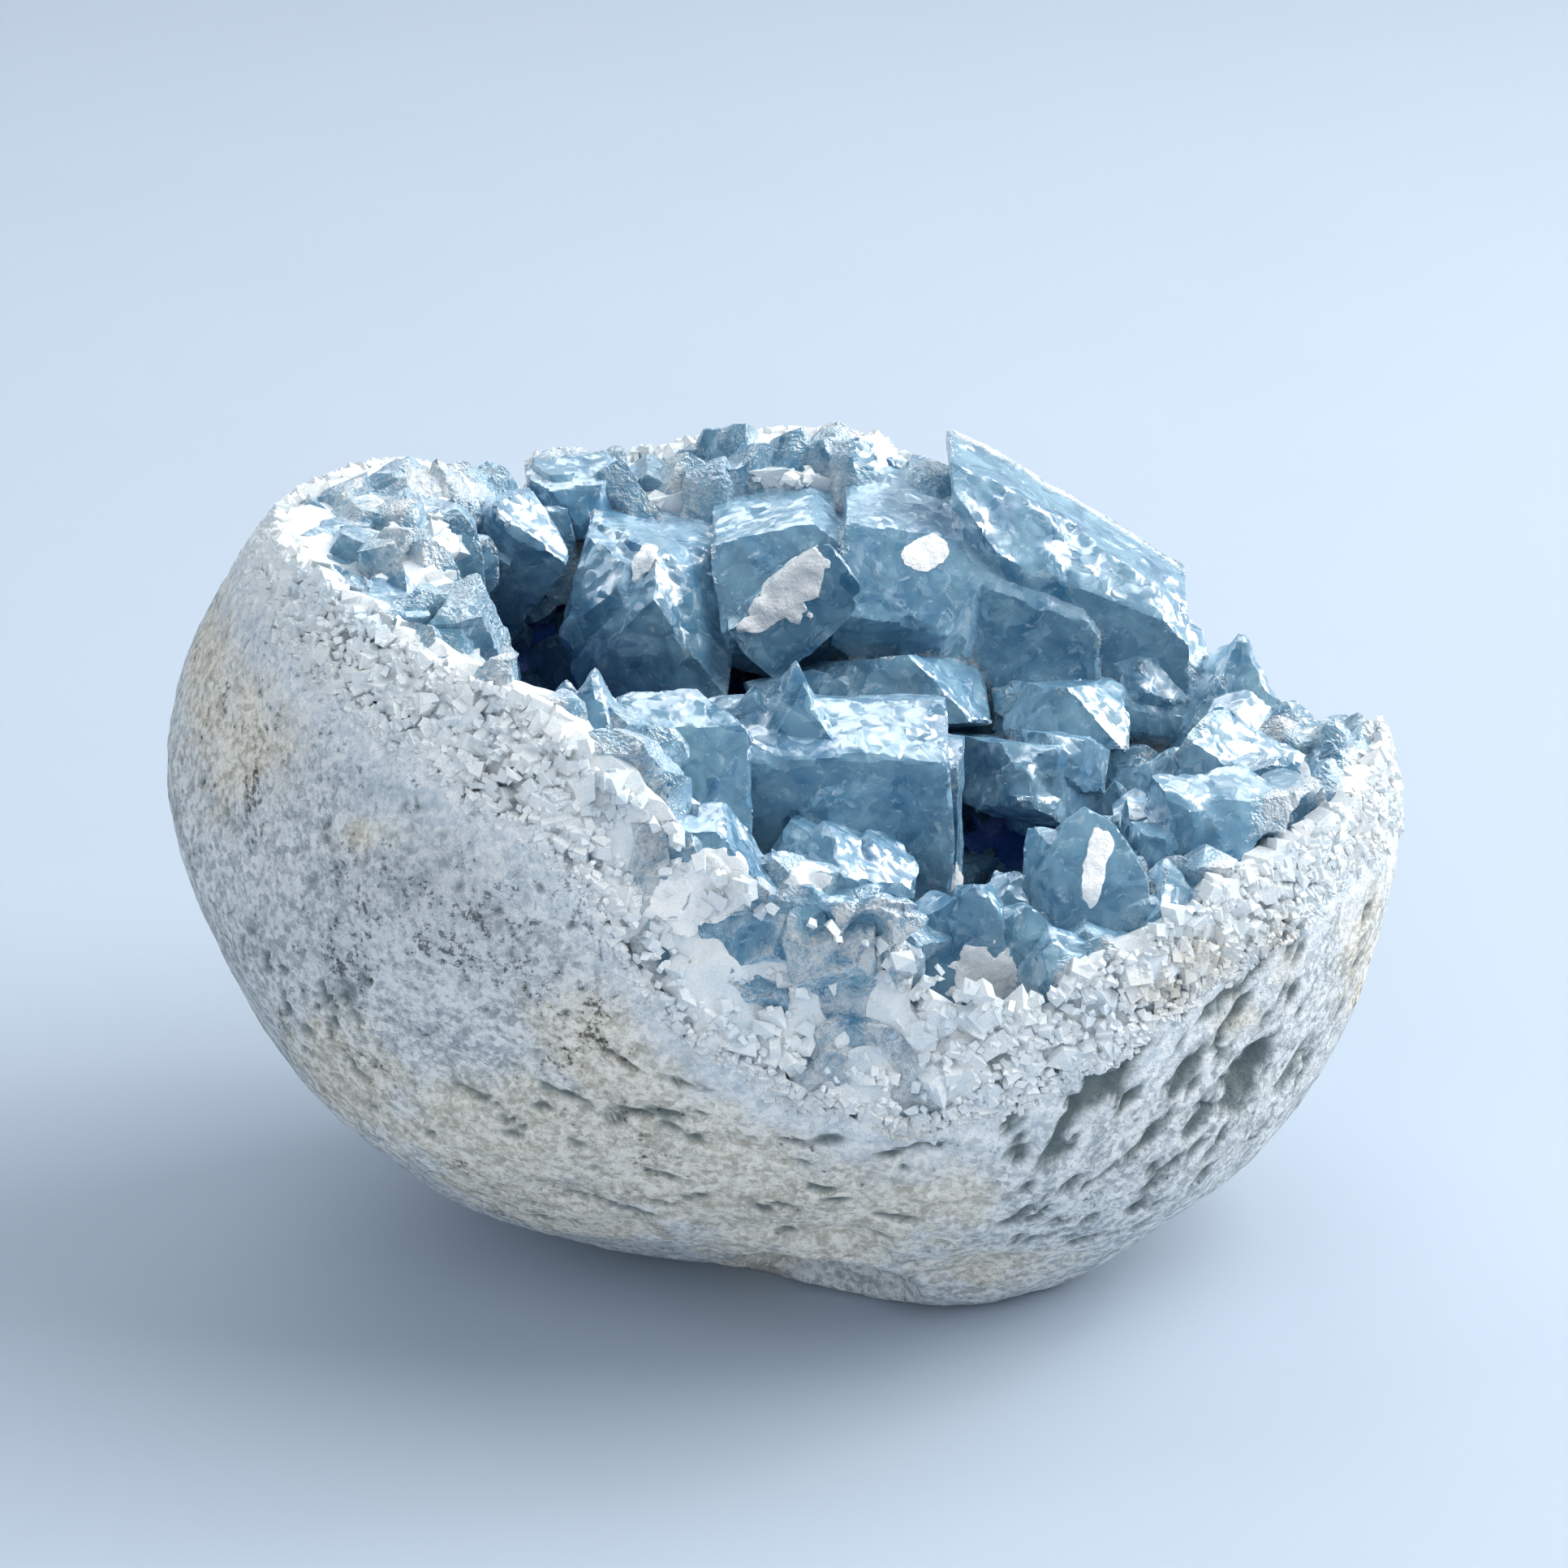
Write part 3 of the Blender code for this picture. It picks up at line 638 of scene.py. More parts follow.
@dataclass
class CrystalWall:
    """The crystals of one side of the hollow, joined in one closed surface and trimmed to the egg and the stone."""

    name: str
    crystals: tuple
    seed: int
    step: float = 0.5
    bend: float = 0.45
    etch: float = 0.17
    chip: float = 0.85
    skin_gap: float = 0.9
    stone_gap: float = 8.5
    edge_gap: float = 0.8
    bottom: float = 6.0
    knocks: int = 420
    crease: float = 22
    lone: bool = False

    def with_companions(self) -> list[Crystal]:
        """Each crystal and, unless it is lone, the smaller ones that grow beside it in the same direction.

        A companion is moved across and through by 0.2 to 0.5 of the crystal's size, has 0.45 to 0.7 of its size and
        0.7 to 0.97 of its length.
        """
        chance = np.random.default_rng(self.seed)
        made = []
        for crystal in self.crystals:
            made.append(crystal)
            if self.lone:
                continue
            side, deep, _ = crystal.axes()
            for _ in range(1 + int(crystal.across > 8) + int(crystal.across > 12)):
                angle = chance.uniform(0, TURN)
                far = chance.uniform(0.22, 0.5)
                shift = side * math.cos(angle) * crystal.across * far
                shift = shift + deep * math.sin(angle) * crystal.through * far
                size, length = chance.uniform(0.4, 0.7), chance.uniform(0.7, 0.96)
                made.append(crystal.grown(shift, size, length, chance.uniform(-14, 14)))
        return made

    def join(self, block: Block, crystal: Crystal, bends: list[Array], steps: Array, chips: Array) -> None:
        """Adds a crystal to the block: at each point, the greatest distance to any of its planes.

        The points are first moved by slow random hills, which bends the faces a little. Where two planes are nearly
        as far, a third plane between them cuts their edge off, by as much as the chips say.

        Args:
            block: where the shape is worked out.
            crystal: the crystal.
            bends: how far points move along each axis.
            steps: low terraces on the faces.
            chips: how deep the edges are cut at each point.
        """
        axes, foot, length = crystal.axes(), np.array(crystal.foot, float), crystal.length()
        wide, deep = crystal.across / 2, crystal.through / 2
        high = length + max(wide, deep) * 0.6
        box = [(x, y, z) for x in (-wide, wide) for y in (-deep, deep) for z in (0, high)]
        corners = np.array(box) @ axes + foot
        part = block.window(corners.min(axis=0) - 1, corners.max(axis=0) + 1)
        if min(block.far[part].shape) == 0:
            return
        points = block.points(part) - foot
        for a in range(3):
            points[..., a] += self.bend * bends[a][part]
        normals, reach = crystal.planes()
        far = points @ normals.T - reach
        order = np.argpartition(far, -2, axis=-1)[..., -2:]
        pair = np.take_along_axis(far, order, axis=-1)
        swap = pair[..., 0] > pair[..., 1]
        first = np.where(swap, order[..., 0], order[..., 1])
        second = np.where(swap, order[..., 1], order[..., 0])
        most, next_most = pair.max(axis=-1), pair.min(axis=-1)
        both = normals[first] + normals[second]
        size = np.maximum(np.linalg.norm(both, axis=-1), 0.3)
        cut = (most + next_most) / size + np.maximum(chips[part], 0.02)
        edge = cut > most
        far = np.where(edge, cut, most) + self.etch * steps[part]
        out = np.where(edge[..., None], both / size[..., None], normals[first])
        block.put(far < block.far[part], far, out, part)

    def build(self) -> tuple[Block, bpy.types.Object]:
        """Works out the wall's surface.

        Returns:
            The block that holds the shape, and the piece.
        """
        crystals = self.with_companions()
        ends = np.array([end for c in crystals for end in (c.foot, c.tip)], float)
        wide = max(max(c.across, c.through) for c in crystals) * 0.75
        low, high = np.maximum(ends.min(axis=0) - wide, ROOM_LOW), np.minimum(ends.max(axis=0) + wide, ROOM_HIGH)
        block = Block(low - 1.5, high + 1.5, self.step)
        bends = [block.hills(9.0, self.seed + a) + 0.42 * block.hills(2.6, self.seed + 3 + a) for a in range(3)]
        rise = block.hills(4.5, self.seed + 7) + 0.6 * block.hills(1.9, self.seed + 8)
        steps = np.round(rise * 3) / 3
        chips = self.chip * (block.hills(5.0, self.seed + 9) + 0.7 * block.hills(1.7, self.seed + 10))
        for crystal in crystals:
            self.join(block, crystal, bends, steps, chips)
        self.trim(block)
        points, faces = tidy_faces(*block.surface())
        piece = make_piece(self.name, points, faces)
        shade(piece, self.crease)
        return block, piece

    def trim(self, block: Block) -> None:
        """Keeps the block's shape inside the egg and clear of the stone."""
        points = block.points()
        skin, _ = EGG.outside(points)
        broken = np.abs(block.hills(3.2, self.seed + 11)) + 0.5 * np.abs(block.hills(1.3, self.seed + 12))
        block.keep_within(skin + self.skin_gap + 0.6 * broken)
        block.chip_away(self.seed + 20, self.knocks, self.skin_gap)
        block.keep_within(points[..., 2] - TOP, np.array([0.0, 0, 1]))
        block.keep_within(-np.maximum(-(skin + self.stone_gap), BREAK.over(points, STONE_TOP) - self.edge_gap))
        block.keep_within(self.bottom - points[..., 2], np.array([0.0, 0, -1]))


def deep_crystals() -> tuple:
    """The crystals low on the walls and on the bottom of the hollow, in rings that a fixed seed varies."""
    chance = np.random.default_rng(23)
    centre, half = np.array(HOLLOW.centre), np.array(HOLLOW.half)
    made = []
    for height, count, length in ((30.0, 12, 15.0), (42.0, 15, 14.0), (24.5, 5, 14.0), (52.0, 15, 11.0)):
        level = (height - centre[2]) / half[2]
        reach = math.sqrt(max(0.05, 1.0 - level * level))
        for step in range(count):
            angle = TURN * (step + 0.6 * chance.random()) / count
            foot = centre + half * np.array([reach * math.cos(angle), reach * math.sin(angle), level]) * 1.06
            way = unit(unit(centre - foot) + np.array([0, 0, 0.25]) + chance.uniform(-0.25, 0.25, 3))
            tip = foot + way * length * chance.uniform(0.7, 1.1)
            across, through = chance.uniform(5.5, 10.5), chance.uniform(5.5, 10)
            habit = chance.choice([Habit.BLOCK, Habit.CHISEL, Habit.SPIRE, Habit.WEDGE, Habit.DOME])
            made.append(Crystal(tuple(foot), tuple(tip), across, through, chance.uniform(0, 90), habit))
    return tuple(made)


def rim_crystals() -> tuple:
    """The blunt crystals grown together on the broken top, all round the hollow, varied by a fixed seed.

    Each stands on the crust between the hollow and the skin. It points up and a little out, as steeply as it is near
    the skin.
    """
    chance, tries = np.random.default_rng(61), 2400
    habits = (Habit.BLOCK, Habit.DOME, Habit.CHISEL, Habit.WEDGE, Habit.SPIRE, Habit.BLOCK, Habit.SLANT)
    made = []
    x, y = chance.uniform(-62, 62, tries), chance.uniform(-49, 49, tries)
    top = BREAK.height(x, y, CRUST_TOP)
    spots = np.stack([x, y, top - 1.5], axis=-1)
    far, out = EGG.outside(spots)
    inside = np.minimum(HOLLOW.outside(spots), DEEP_GAP.outside(spots))
    keep = (far < -2.2) & (inside > 0.6) & (POCKET.outside(spots) > 0.5)
    for spot, way, level, room in zip(spots[keep], out[keep], top[keep], inside[keep]):
        across, through = chance.uniform(3.4, 8.5), chance.uniform(3.2, 7.0)
        if room < 0.42 * across or any(np.hypot(*(spot[:2] - c.tip[:2])) < 0.27 * (across + c.across) for c in made):
            continue
        up = unit(np.array([0, 0, 1.0]) + 0.35 * way * np.array([1, 1, 0]) + chance.normal(0, 0.22, 3))
        tip = np.array([spot[0], spot[1], level + chance.uniform(-0.6, 1.6)])
        foot = tip - up * chance.uniform(9, 12)
        made.append(Crystal(tuple(foot), tuple(tip), across, through, chance.uniform(0, 90), habits[len(made) % 7]))
    return tuple(made)


@dataclass(frozen=True)
class Eye:
    """Where the photograph was taken from: level with the geode's front, looking down on it."""

    lens: float = 120.0
    film: float = 36.0
    down: float = math.radians(22.0)
    aim: Point = (-0.17, 0.95, 50.25)
    distance: float = 545.8
    picture: float = 1932.0

    def axes(self) -> Array:
        """The directions to the right, up and into the picture, as rows."""
        c, s = math.cos(self.down), math.sin(self.down)
        return np.array([[1, 0, 0], [0, s, c], [0, c, -s]], float)

    def place(self) -> Array:
        """The camera's place."""
        return np.array(self.aim) - self.axes()[2] * self.distance

    def seen(self, points: Array) -> tuple[Array, Array]:
        """Where points appear in the picture, in its pixels from the top left corner."""
        own = (points - self.place()) @ self.axes().T
        scale = self.picture * self.lens / self.film / own[..., 2]
        return self.picture / 2 + own[..., 0] * scale, self.picture / 2 - own[..., 1] * scale

    def ray(self, across: float, down: float) -> Array:
        """The unit direction from the camera through a place in the picture."""
        size = self.picture * self.lens / self.film
        own = np.array([(across - self.picture / 2) / size, (self.picture / 2 - down) / size, 1.0])
        return unit(own @ self.axes())

    def facing(self, points: Array, normals: Array) -> Array:
        """1 where a surface faces the camera, easing to 0 where it turns away."""
        return smooth(((unit(self.place() - points) * normals).sum(axis=-1) + 0.1) / 0.35)


EYE = Eye()


@dataclass(frozen=True)
class Patch:
    """A patch of the front, placed as it is seen: its middle, half width and half height, turn, and strength."""

    across: float
    down: float
    wide: float
    high: float
    turn: float = 0.0
    strength: float = 1.0


def patched(points: Array, normals: Array, patches: tuple[Patch, ...]) -> Array:
    """How strongly the patches cover each point: for each, a bell of the turned and scaled distance in the picture.

    Args:
        points: positions, in rows of three.
        normals: the surface's normals there.
        patches: the patches.

    Returns:
        The greatest strength at each point, for surfaces that face the camera.
    """
    across, down = EYE.seen(points)
    out = np.zeros(len(points))
    for patch in patches:
        c, s = math.cos(math.radians(patch.turn)), math.sin(math.radians(patch.turn))
        x, y = across - patch.across, patch.down - down
        u, v = (x * c + y * s) / patch.wide, (y * c - x * s) / patch.high
        out = np.maximum(out, patch.strength * bell(np.hypot(u, v), 0.75))
    return out * EYE.facing(points, normals)


@dataclass(frozen=True)
class PitField:
    """Pits strewn over a part of the picture: how many, between which pixels, and the ranges of their sizes.

    Where the pits run alike, the turn is a middle and a spread in degrees, and elsewhere a range.
    """

    count: int
    across: tuple[float, float]
    down: tuple[float, float]
    turn: tuple[float, float]
    long: tuple[float, float]
    wide: tuple[float, float]
    deep: tuple[float, float]
    alike: bool = True


@dataclass
class Rind:
    """The stone outside: a closed skin that runs from the foot up to the broken edge, over it and down inside.

    A point is set by an angle round the geode and a place along the profile: first up the outside, then across the
    broken edge, and then down the inside.
    """

    around: int = 520
    outer_rows: int = 146
    edge_rows: int = 7
    inner_rows: int = 10
    wall: float = 8.0
    seed: int = 12
    stains: tuple = (
        Patch(255, 800, 45, 130, 10, 0.8), Patch(300, 900, 60, 90, -20, 0.7), Patch(640, 1400, 150, 60, -8, 0.9),
        Patch(860, 1440, 190, 80, -12, 1.0), Patch(1010, 1500, 160, 60, 5, 0.9), Patch(760, 1300, 110, 60, -40, 0.8),
        Patch(840, 1370, 120, 50, -30, 0.9), Patch(680, 1490, 150, 45, -10, 0.8), Patch(1130, 1430, 80, 40, 0, 0.7),
        Patch(1230, 1570, 120, 30, 0, 0.6), Patch(430, 1330, 90, 60, -40, 0.6), Patch(1480, 1180, 45, 35, 0, 0.9),
        Patch(1575, 1170, 25, 40, 0, 0.8), Patch(1437, 1222, 40, 25, 0, 0.9), Patch(1515, 1245, 35, 25, 0, 0.8),
        Patch(1690, 1120, 30, 110, -10, 0.5), Patch(450, 1030, 40, 22, 0, 0.5), Patch(1180, 1470, 60, 60, 0, 0.5),
    )
    # Grey patches on the shaded left front: painted shade.
    shaded_greys: tuple = (
        Patch(560, 1080, 140, 110, -20, 0.9), Patch(740, 1110, 60, 60, 0, 0.8), Patch(400, 1150, 100, 90, 0, 0.5),
        Patch(700, 1230, 90, 60, -30, 0.5), Patch(330, 900, 90, 110, 0, 0.6),
    )
    blues: tuple = (
        Patch(500, 940, 75, 60, -35, 1.0), Patch(590, 990, 60, 40, -30, 0.5), Patch(420, 850, 45, 50, 0, 0.5),
    )
    pit_fields: tuple = (
        PitField(210, (1240, 1710), (1120, 1560), (52, 14), (0.6, 2.4), (0.35, 0.75), (0.4, 1.2)),
        PitField(34, (320, 460), (1190, 1400), (-50, 25), (0.4, 1.0), (0.35, 0.55), (0.4, 0.9)),
        PitField(60, (520, 1150), (1330, 1540), (-15, 15), (0.6, 2.2), (0.3, 0.55), (0.3, 0.8)),
        PitField(70, (240, 1000), (950, 1350), (0, 180), (0.3, 0.7), (0.3, 0.5), (0.2, 0.5), alike=False),
    )
    # Where each large pit is seen, across and down, its turn, half length, half width and depth.
    large_pits: tuple = (
        (1361, 1344, 40, 2.3, 1.7, 1.6), (1325, 1375, 60, 2.6, 1.0, 1.6), (1395, 1300, 15, 4.0, 0.7, 1.4),
        (1537, 1330, 35, 3.3, 2.4, 2.4), (1465, 1320, 50, 2.0, 1.0, 1.5), (1300, 1420, 60, 2.6, 0.8, 1.0),
        (760, 1308, -35, 2.2, 0.22, 1.2),
    )
    pits_behind: int = 170
    # The foot's arch is pushed in towards this point, by this much at most.
    arch_towards: Point = (2.5, 4.0, 47.9)
    arch_reach: float = 7.3
    crease: float = 60

    def edge_rise(self, angle: Array, inset: float) -> Array:
        """The angle of rise at which the skin, this far in, meets the broken top: found by halving its range."""
        low, high = np.full(angle.shape, -1.2), np.full(angle.shape, 1.3)
        for _ in range(26):
            middle = (low + high) / 2
            rays = rays_at(angle, middle)
            points = EGG.skin(rays) - rays * inset
            above = points[..., 2] > BREAK.height(points[..., 0], points[..., 1], STONE_TOP) + BREAK.torn(points)
            low, high = np.where(above, low, middle), np.where(above, middle, high)
        return low

    def pits(self) -> list[tuple[Array, Array, float, float, float]]:
        """Where the pits are: those in front as they are seen, and those behind at random.

        Returns:
            Each pit's place, the way it runs, its half length, half width and depth.
        """
        chance = np.random.default_rng(self.seed)
        seen = []
        for field in self.pit_fields:
            for _ in range(field.count):
                place = chance.uniform(*field.across), chance.uniform(*field.down)
                turn = chance.normal(*field.turn) if field.alike else chance.uniform(*field.turn)
                seen.append((*place, turn, *(chance.uniform(*size) for size in (field.long, field.wide, field.deep))))
        eye, reach, made = EYE.place(), np.linspace(440, 560, 481), []
        for across, down, turn, *sizes in (*seen, *self.large_pits):
            ray = EYE.ray(across, down)
            far, _ = EGG.outside(eye + ray * reach[:, None])
            if far.min() <= -0.5:
                c, s = math.cos(math.radians(turn)), math.sin(math.radians(turn))
                made.append((eye + ray * reach[np.argmax(far < 0)], EYE.axes()[0] * c + EYE.axes()[1] * s, *sizes))
        for _ in range(self.pits_behind):
            angle, rise = chance.uniform(0.1, math.pi - 0.1), chance.uniform(-1.1, 0.3)
            spot = EGG.skin(rays_at(np.array(angle), np.array(rise)))
            way = unit(chance.normal(size=3))
            made.append((spot, way, chance.uniform(0.4, 1.6), chance.uniform(0.3, 0.6), chance.uniform(0.2, 0.9)))
        return made

    def pitted(self, points: Array, out: Array) -> Array:
        """How deep the pits are at each point: for each, a steep bell of the distance along it and beside it.

        Args:
            points: positions on the skin, in rows of three.
            out: the skin's normals there.

        Returns:
            The greatest depth at each point.
        """
        depth = np.zeros(len(points))
        for spot, way, long, wide, deep in self.pits():
            near = np.nonzero(np.abs(points - spot).max(axis=1) < 3 * long + 1)[0]
            if len(near) == 0:
                continue
            gap = points[near] - spot
            along = gap @ way
            beside = np.sqrt(np.maximum((gap ** 2).sum(axis=1) - along ** 2 - (gap * out[near]).sum(axis=1) ** 2, 0))
            size = (along / long) ** 2 + (beside / wide) ** 2
            size *= np.exp(0.9 * noise(points[near], 1.7, 3) + 0.7 * noise(points[near], 0.8, 5))
            depth[near] = np.maximum(depth[near], deep * np.exp(-(size ** 1.5)))
        return depth

    def marks(self, outer: Array, out: Array) -> dict[str, Array]:
        """What the finish reads: height over the broken top, stains, pits, grey that is painted shade on the front and
        random mottling behind, and blue patches.

        Args:
            outer: points of the egg's skin, in rows of three.
            out: its normals there.

        Returns:
            One number for each point, by name.
        """
        facing = EYE.facing(outer, out)
        away = 1 - facing
        stain = np.clip(patched(outer, out, self.stains) * (1 + 0.5 * noise(outer, 3.5, 6)), 0, 1)
        behind = np.clip(noise(outer, 13, 9) * 1.6 - 0.35 + 0.4 * noise(outer, 4.0, 10), 0, 1)
        # Grey: painted shade on the front's patches, and random grey mottling on what faces away.
        grey = np.maximum(patched(outer, out, self.shaded_greys) * facing, away * np.clip(noise(outer, 16, 15) * 1.4, 0, 1))
        return {
            "rise": BREAK.over(outer, STONE_TOP), "stain": np.maximum(stain, behind * away),
            "pit": self.pitted(outer, out), "grey": grey, "blue": patched(outer, out, self.blues),
        }

    @staticmethod
    def grain(outer: Array, rise: Array, stain: Array) -> Array:
        """How far the stone's grain stands out: hills of three sizes, ledges low in the stains, terraces by the edge.

        Args:
            outer: points of the egg's skin, in rows of three.
            rise: how far they are above the broken top.
            stain: how stained they are.

        Returns:
            One height for each point.
        """
        hills = 0.10 * noise(outer, 0.95, 1) + 0.09 * noise(outer, 1.9, 2) + 0.16 * noise(outer, 5.5, 4)
        low = smooth((26 - outer[:, 2]) / 18)
        ledge = np.abs(noise(outer * np.array([0.6, 0.6, 1.6]), 4.5, 11))
        hills -= (2.8 * ledge + 0.8 * np.abs(noise(outer, 1.6, 13))) * stain * (0.3 + 0.7 * low)
        terraces = 0.16 * smooth((rise + 9) / 9) * np.round(2.2 * noise(outer, 1.3, 16))
        return hills + (terraces - 0.30 * smooth((rise + 2) / 3))

    def arched(self, points: Array) -> Array:
        """Pushes what is in the arch under the foot inwards, bit by bit until it is out, and flattens the foot."""
        inward, moved = unit(np.array(self.arch_towards) - points), np.zeros(len(points))
        for _ in range(8):
            within = -FOOT_ARCH.outside(points + inward * moved[:, None])
            moved = np.minimum(moved + np.maximum(within, 0), self.arch_reach)
        points = points + inward * moved[:, None]
        points[:, 2] = np.maximum(points[:, 2], 0.0)
        return points

    def lining(self, angle: Array, start: float) -> list[Array]:
        """The rows of points over the broken edge and down the inside, which has no grain.

        Args:
            angle: the angles round.
            start: the lowest row's angle of rise.

        Returns:
            The rows, each with one point for each angle.
        """
        rows = []
        for step in range(1, self.edge_rows + 1):
            inset = self.wall * step / self.edge_rows
            rays = rays_at(angle, self.edge_rise(angle, inset))
            ring = EGG.skin(rays) - rays * (inset + 0.3)
            ring[:, 2] += 0.35 * noise(ring, 2.0, 21)
            rows.append(ring)
        last = self.edge_rise(angle, self.wall)
        for step in range(1, self.inner_rows + 1):
            rays = rays_at(angle, last + (start - last) * step / self.inner_rows)
            rows.append(EGG.skin(rays) - rays * (self.wall + 0.3))
        return rows

    def faces(self, total: int) -> tuple[Array, Array]:
        """The faces of the grid of rows, and the triangles that close it at both poles.

        Args:
            total: how many rows there are. The poles' two points follow the rows' own.

        Returns:
            Point numbers in rows of four, and in rows of three.
        """
        column = np.arange(self.around)
        after = (column + 1) % self.around
        base = np.arange(total - 1)[:, None] * self.around
        above = base + self.around
        quads = np.stack([base + column, base + after, above + after, above + column], axis=-1)
        foot, last = np.full(self.around, total * self.around), (total - 1) * self.around
        ends = np.stack([foot, after, column], axis=-1), np.stack([foot + 1, last + column, last + after], axis=-1)
        return quads.reshape(-1, 4), np.concatenate(ends)

    def build(self) -> bpy.types.Object:
        """Works out the skin with its grain, pits and foot, the broken edge and the inside.

        Returns:
            The piece, with the numbers stored that its finish reads.
        """
        angle = TURN * np.arange(self.around) / self.around
        start = -math.pi / 2 + 0.012
        rise = start + (self.edge_rise(angle, 0.0) - start) * np.linspace(0, 1, self.outer_rows)[:, None]
        outer = EGG.skin(rays_at(np.broadcast_to(angle, rise.shape), rise)).reshape(-1, 3)
        _, out = EGG.outside(outer)
        marks = self.marks(outer, out)
        depth = np.minimum(self.grain(outer, marks["rise"], marks["stain"]) - 0.36, -0.12) - marks["pit"]
        points = np.concatenate([self.arched(outer + out * depth[:, None]), *self.lining(angle, start)])
        poles = [points[:self.around].mean(axis=0), points[-self.around:].mean(axis=0)]
        piece = make_piece("stone_rind", np.concatenate([points, poles]), *self.faces(len(points) // self.around))
        # The pits' colour mask, which darkens them with partly painted shade.
        marks["pit"] = np.clip(marks["pit"] / 0.4, 0, 1)
        rest = len(points) + len(poles) - len(outer)
        keep_values(piece, **{key: np.pad(values, (0, rest)) for key, values in marks.items()})
        shade(piece, self.crease)
        return piece


@dataclass
class Crust:
    """What lines the stone round the hollow, under the crystals: worked out in a block, as the crystals are."""

    step: float = 1.0
    depth: float = 0.95
    bite_angle: float = math.radians(272)
    bite_width: float = math.radians(26)
    bite_depth: float = 2.6
    stone_gap: float = 8.4
    edge_gap: float = 0.35
    low: Point = (-66, -51.5, 2)
    high: Point = (66, 50, 84.5)
    knocks: int = 520
    crease: float = 35

    def bite(self, points: Array) -> Array:
        """How far the outside is bitten back: a bell of the angle from its middle, and nothing by the stone's edge."""
        turn = np.arctan2(points[..., 1], points[..., 0]) - self.bite_angle
        away = (turn + math.pi) % TURN - math.pi
        over = smooth((BREAK.over(points, STONE_TOP) - 1) / 9)
        return self.bite_depth * np.exp(-((away / self.bite_width) ** 2)) * over

    def build(self) -> tuple[Block, bpy.types.Object]:
        """Works out the crust: the egg less the stone, the hollow, the pocket and all above the broken top.

        Returns:
            The block that holds the shape, and the piece.
        """
        block = Block(np.array(self.low), np.array(self.high), self.step)
        points = block.points()
        skin, out = EGG.outside(points)
        hills = [block.hills(cell, 90 + number) for number, cell in enumerate((9.0, 4.0, 2.0))]
        rough = 0.9 * hills[0] + 0.9 * hills[1] + 0.5 * hills[2]
        lumps = 0.35 * hills[2] + 0.35 * hills[1]
        block.far = (skin + self.depth + lumps + self.bite(points) * (1 + 0.5 * hills[1])).astype(np.float32)
        block.out = out.astype(np.float32)
        block.chip_away(191, self.knocks, self.depth - 0.2, tilt=0.34, reach=3.4)
        block.keep_within(BREAK.over(points, CRUST_TOP) + 0.7 * rough + 0.4 + 1.9 * smooth((-skin - 2) / 5))
        block.keep_within(-(np.minimum(HOLLOW.outside(points), DEEP_GAP.outside(points)) + 0.8 * rough))
        block.keep_within(-POCKET.outside(points))
        block.keep_within(-np.maximum(-(skin + self.stone_gap), BREAK.over(points, STONE_TOP) - self.edge_gap))
        piece = make_piece("crust_body", *tidy_faces(*block.surface()))
        shade(piece, self.crease)
        self.mark(piece)
        return block, piece

    @staticmethod
    def mark(piece: bpy.types.Object) -> None:
        """Stores what the finish reads: height over the stone's edge, depth in the hollow for painted shade, and brown
        stains.
        """
        points, normals = drawn_points(piece)
        skin, _ = EGG.outside(points)
        inward = smooth((-skin - 4.5) / 4)
        # Depth in the hollow, which the finish turns into painted shade.
        deep = inward * smooth((-BREAK.over(points, CRUST_TOP) - 2.0) / 7)
        stain = patched(points, normals, Rind.stains) * (1 - inward)
        keep_values(piece, rise=BREAK.over(points, STONE_TOP), deep=deep, stain=stain)


# How many kinds of each small shape there are.
KINDS = 14


def hull(points: Array) -> tuple[Array, Array]:
    """The closed skin round some points: its own points, and its faces in rows of three."""
    mesh = bmesh.new()
    for spot in points:
        mesh.verts.new(spot)
    bmesh.ops.convex_hull(mesh, input=mesh.verts)
    bmesh.ops.delete(mesh, geom=[v for v in mesh.verts if not v.link_faces], context="VERTS")
    bmesh.ops.triangulate(mesh, faces=mesh.faces)
    bmesh.ops.recalc_face_normals(mesh, faces=mesh.faces)
    mesh.verts.index_update()
    made = np.array([v.co for v in mesh.verts]), np.array([[v.index for v in face.verts] for face in mesh.faces])
    mesh.free()
    return made


def grain_shapes(chance: np.random.Generator, count: int) -> list[tuple[Array, Array]]:
    """Uneven boxes: the hulls round a cube's corners, each moved a little at random."""
    cube, made = np.array(list(np.ndindex(2, 2, 2))) * 1.7 - 0.85, []
    for _ in range(count):
        made.append(hull(cube * chance.uniform(0.55, 1.15, (8, 3)) + chance.uniform(-0.15, 0.15, (8, 3))))
    return made


def point_shapes(chance: np.random.Generator, count: int) -> list[tuple[Array, Array]]:
    """Small crystals of height 1: a foot and a shoulder of four to six corners, and a slanting ridge for the tip."""
    made = []
    for _ in range(count):
        sides = int(chance.integers(4, 7))
        angle = TURN * (np.arange(sides) + chance.uniform(-0.18, 0.18, sides)) / sides
        flat = chance.uniform(0.55, 1.0)
        ring = np.stack([np.cos(angle), np.sin(angle) * flat, 0 * angle], axis=1)
        shoulder = ring * 0.96 + np.array([0, 0, 1]) * chance.uniform(0.5, 0.86, sides)[:, None]
        ridge = [(chance.uniform(0.1, 0.6), 0, 1.0), (chance.uniform(-0.6, -0.1), 0, chance.uniform(0.85, 1.0))]
        made.append(hull(np.concatenate([ring, shoulder, np.array(ridge)])))
    return made


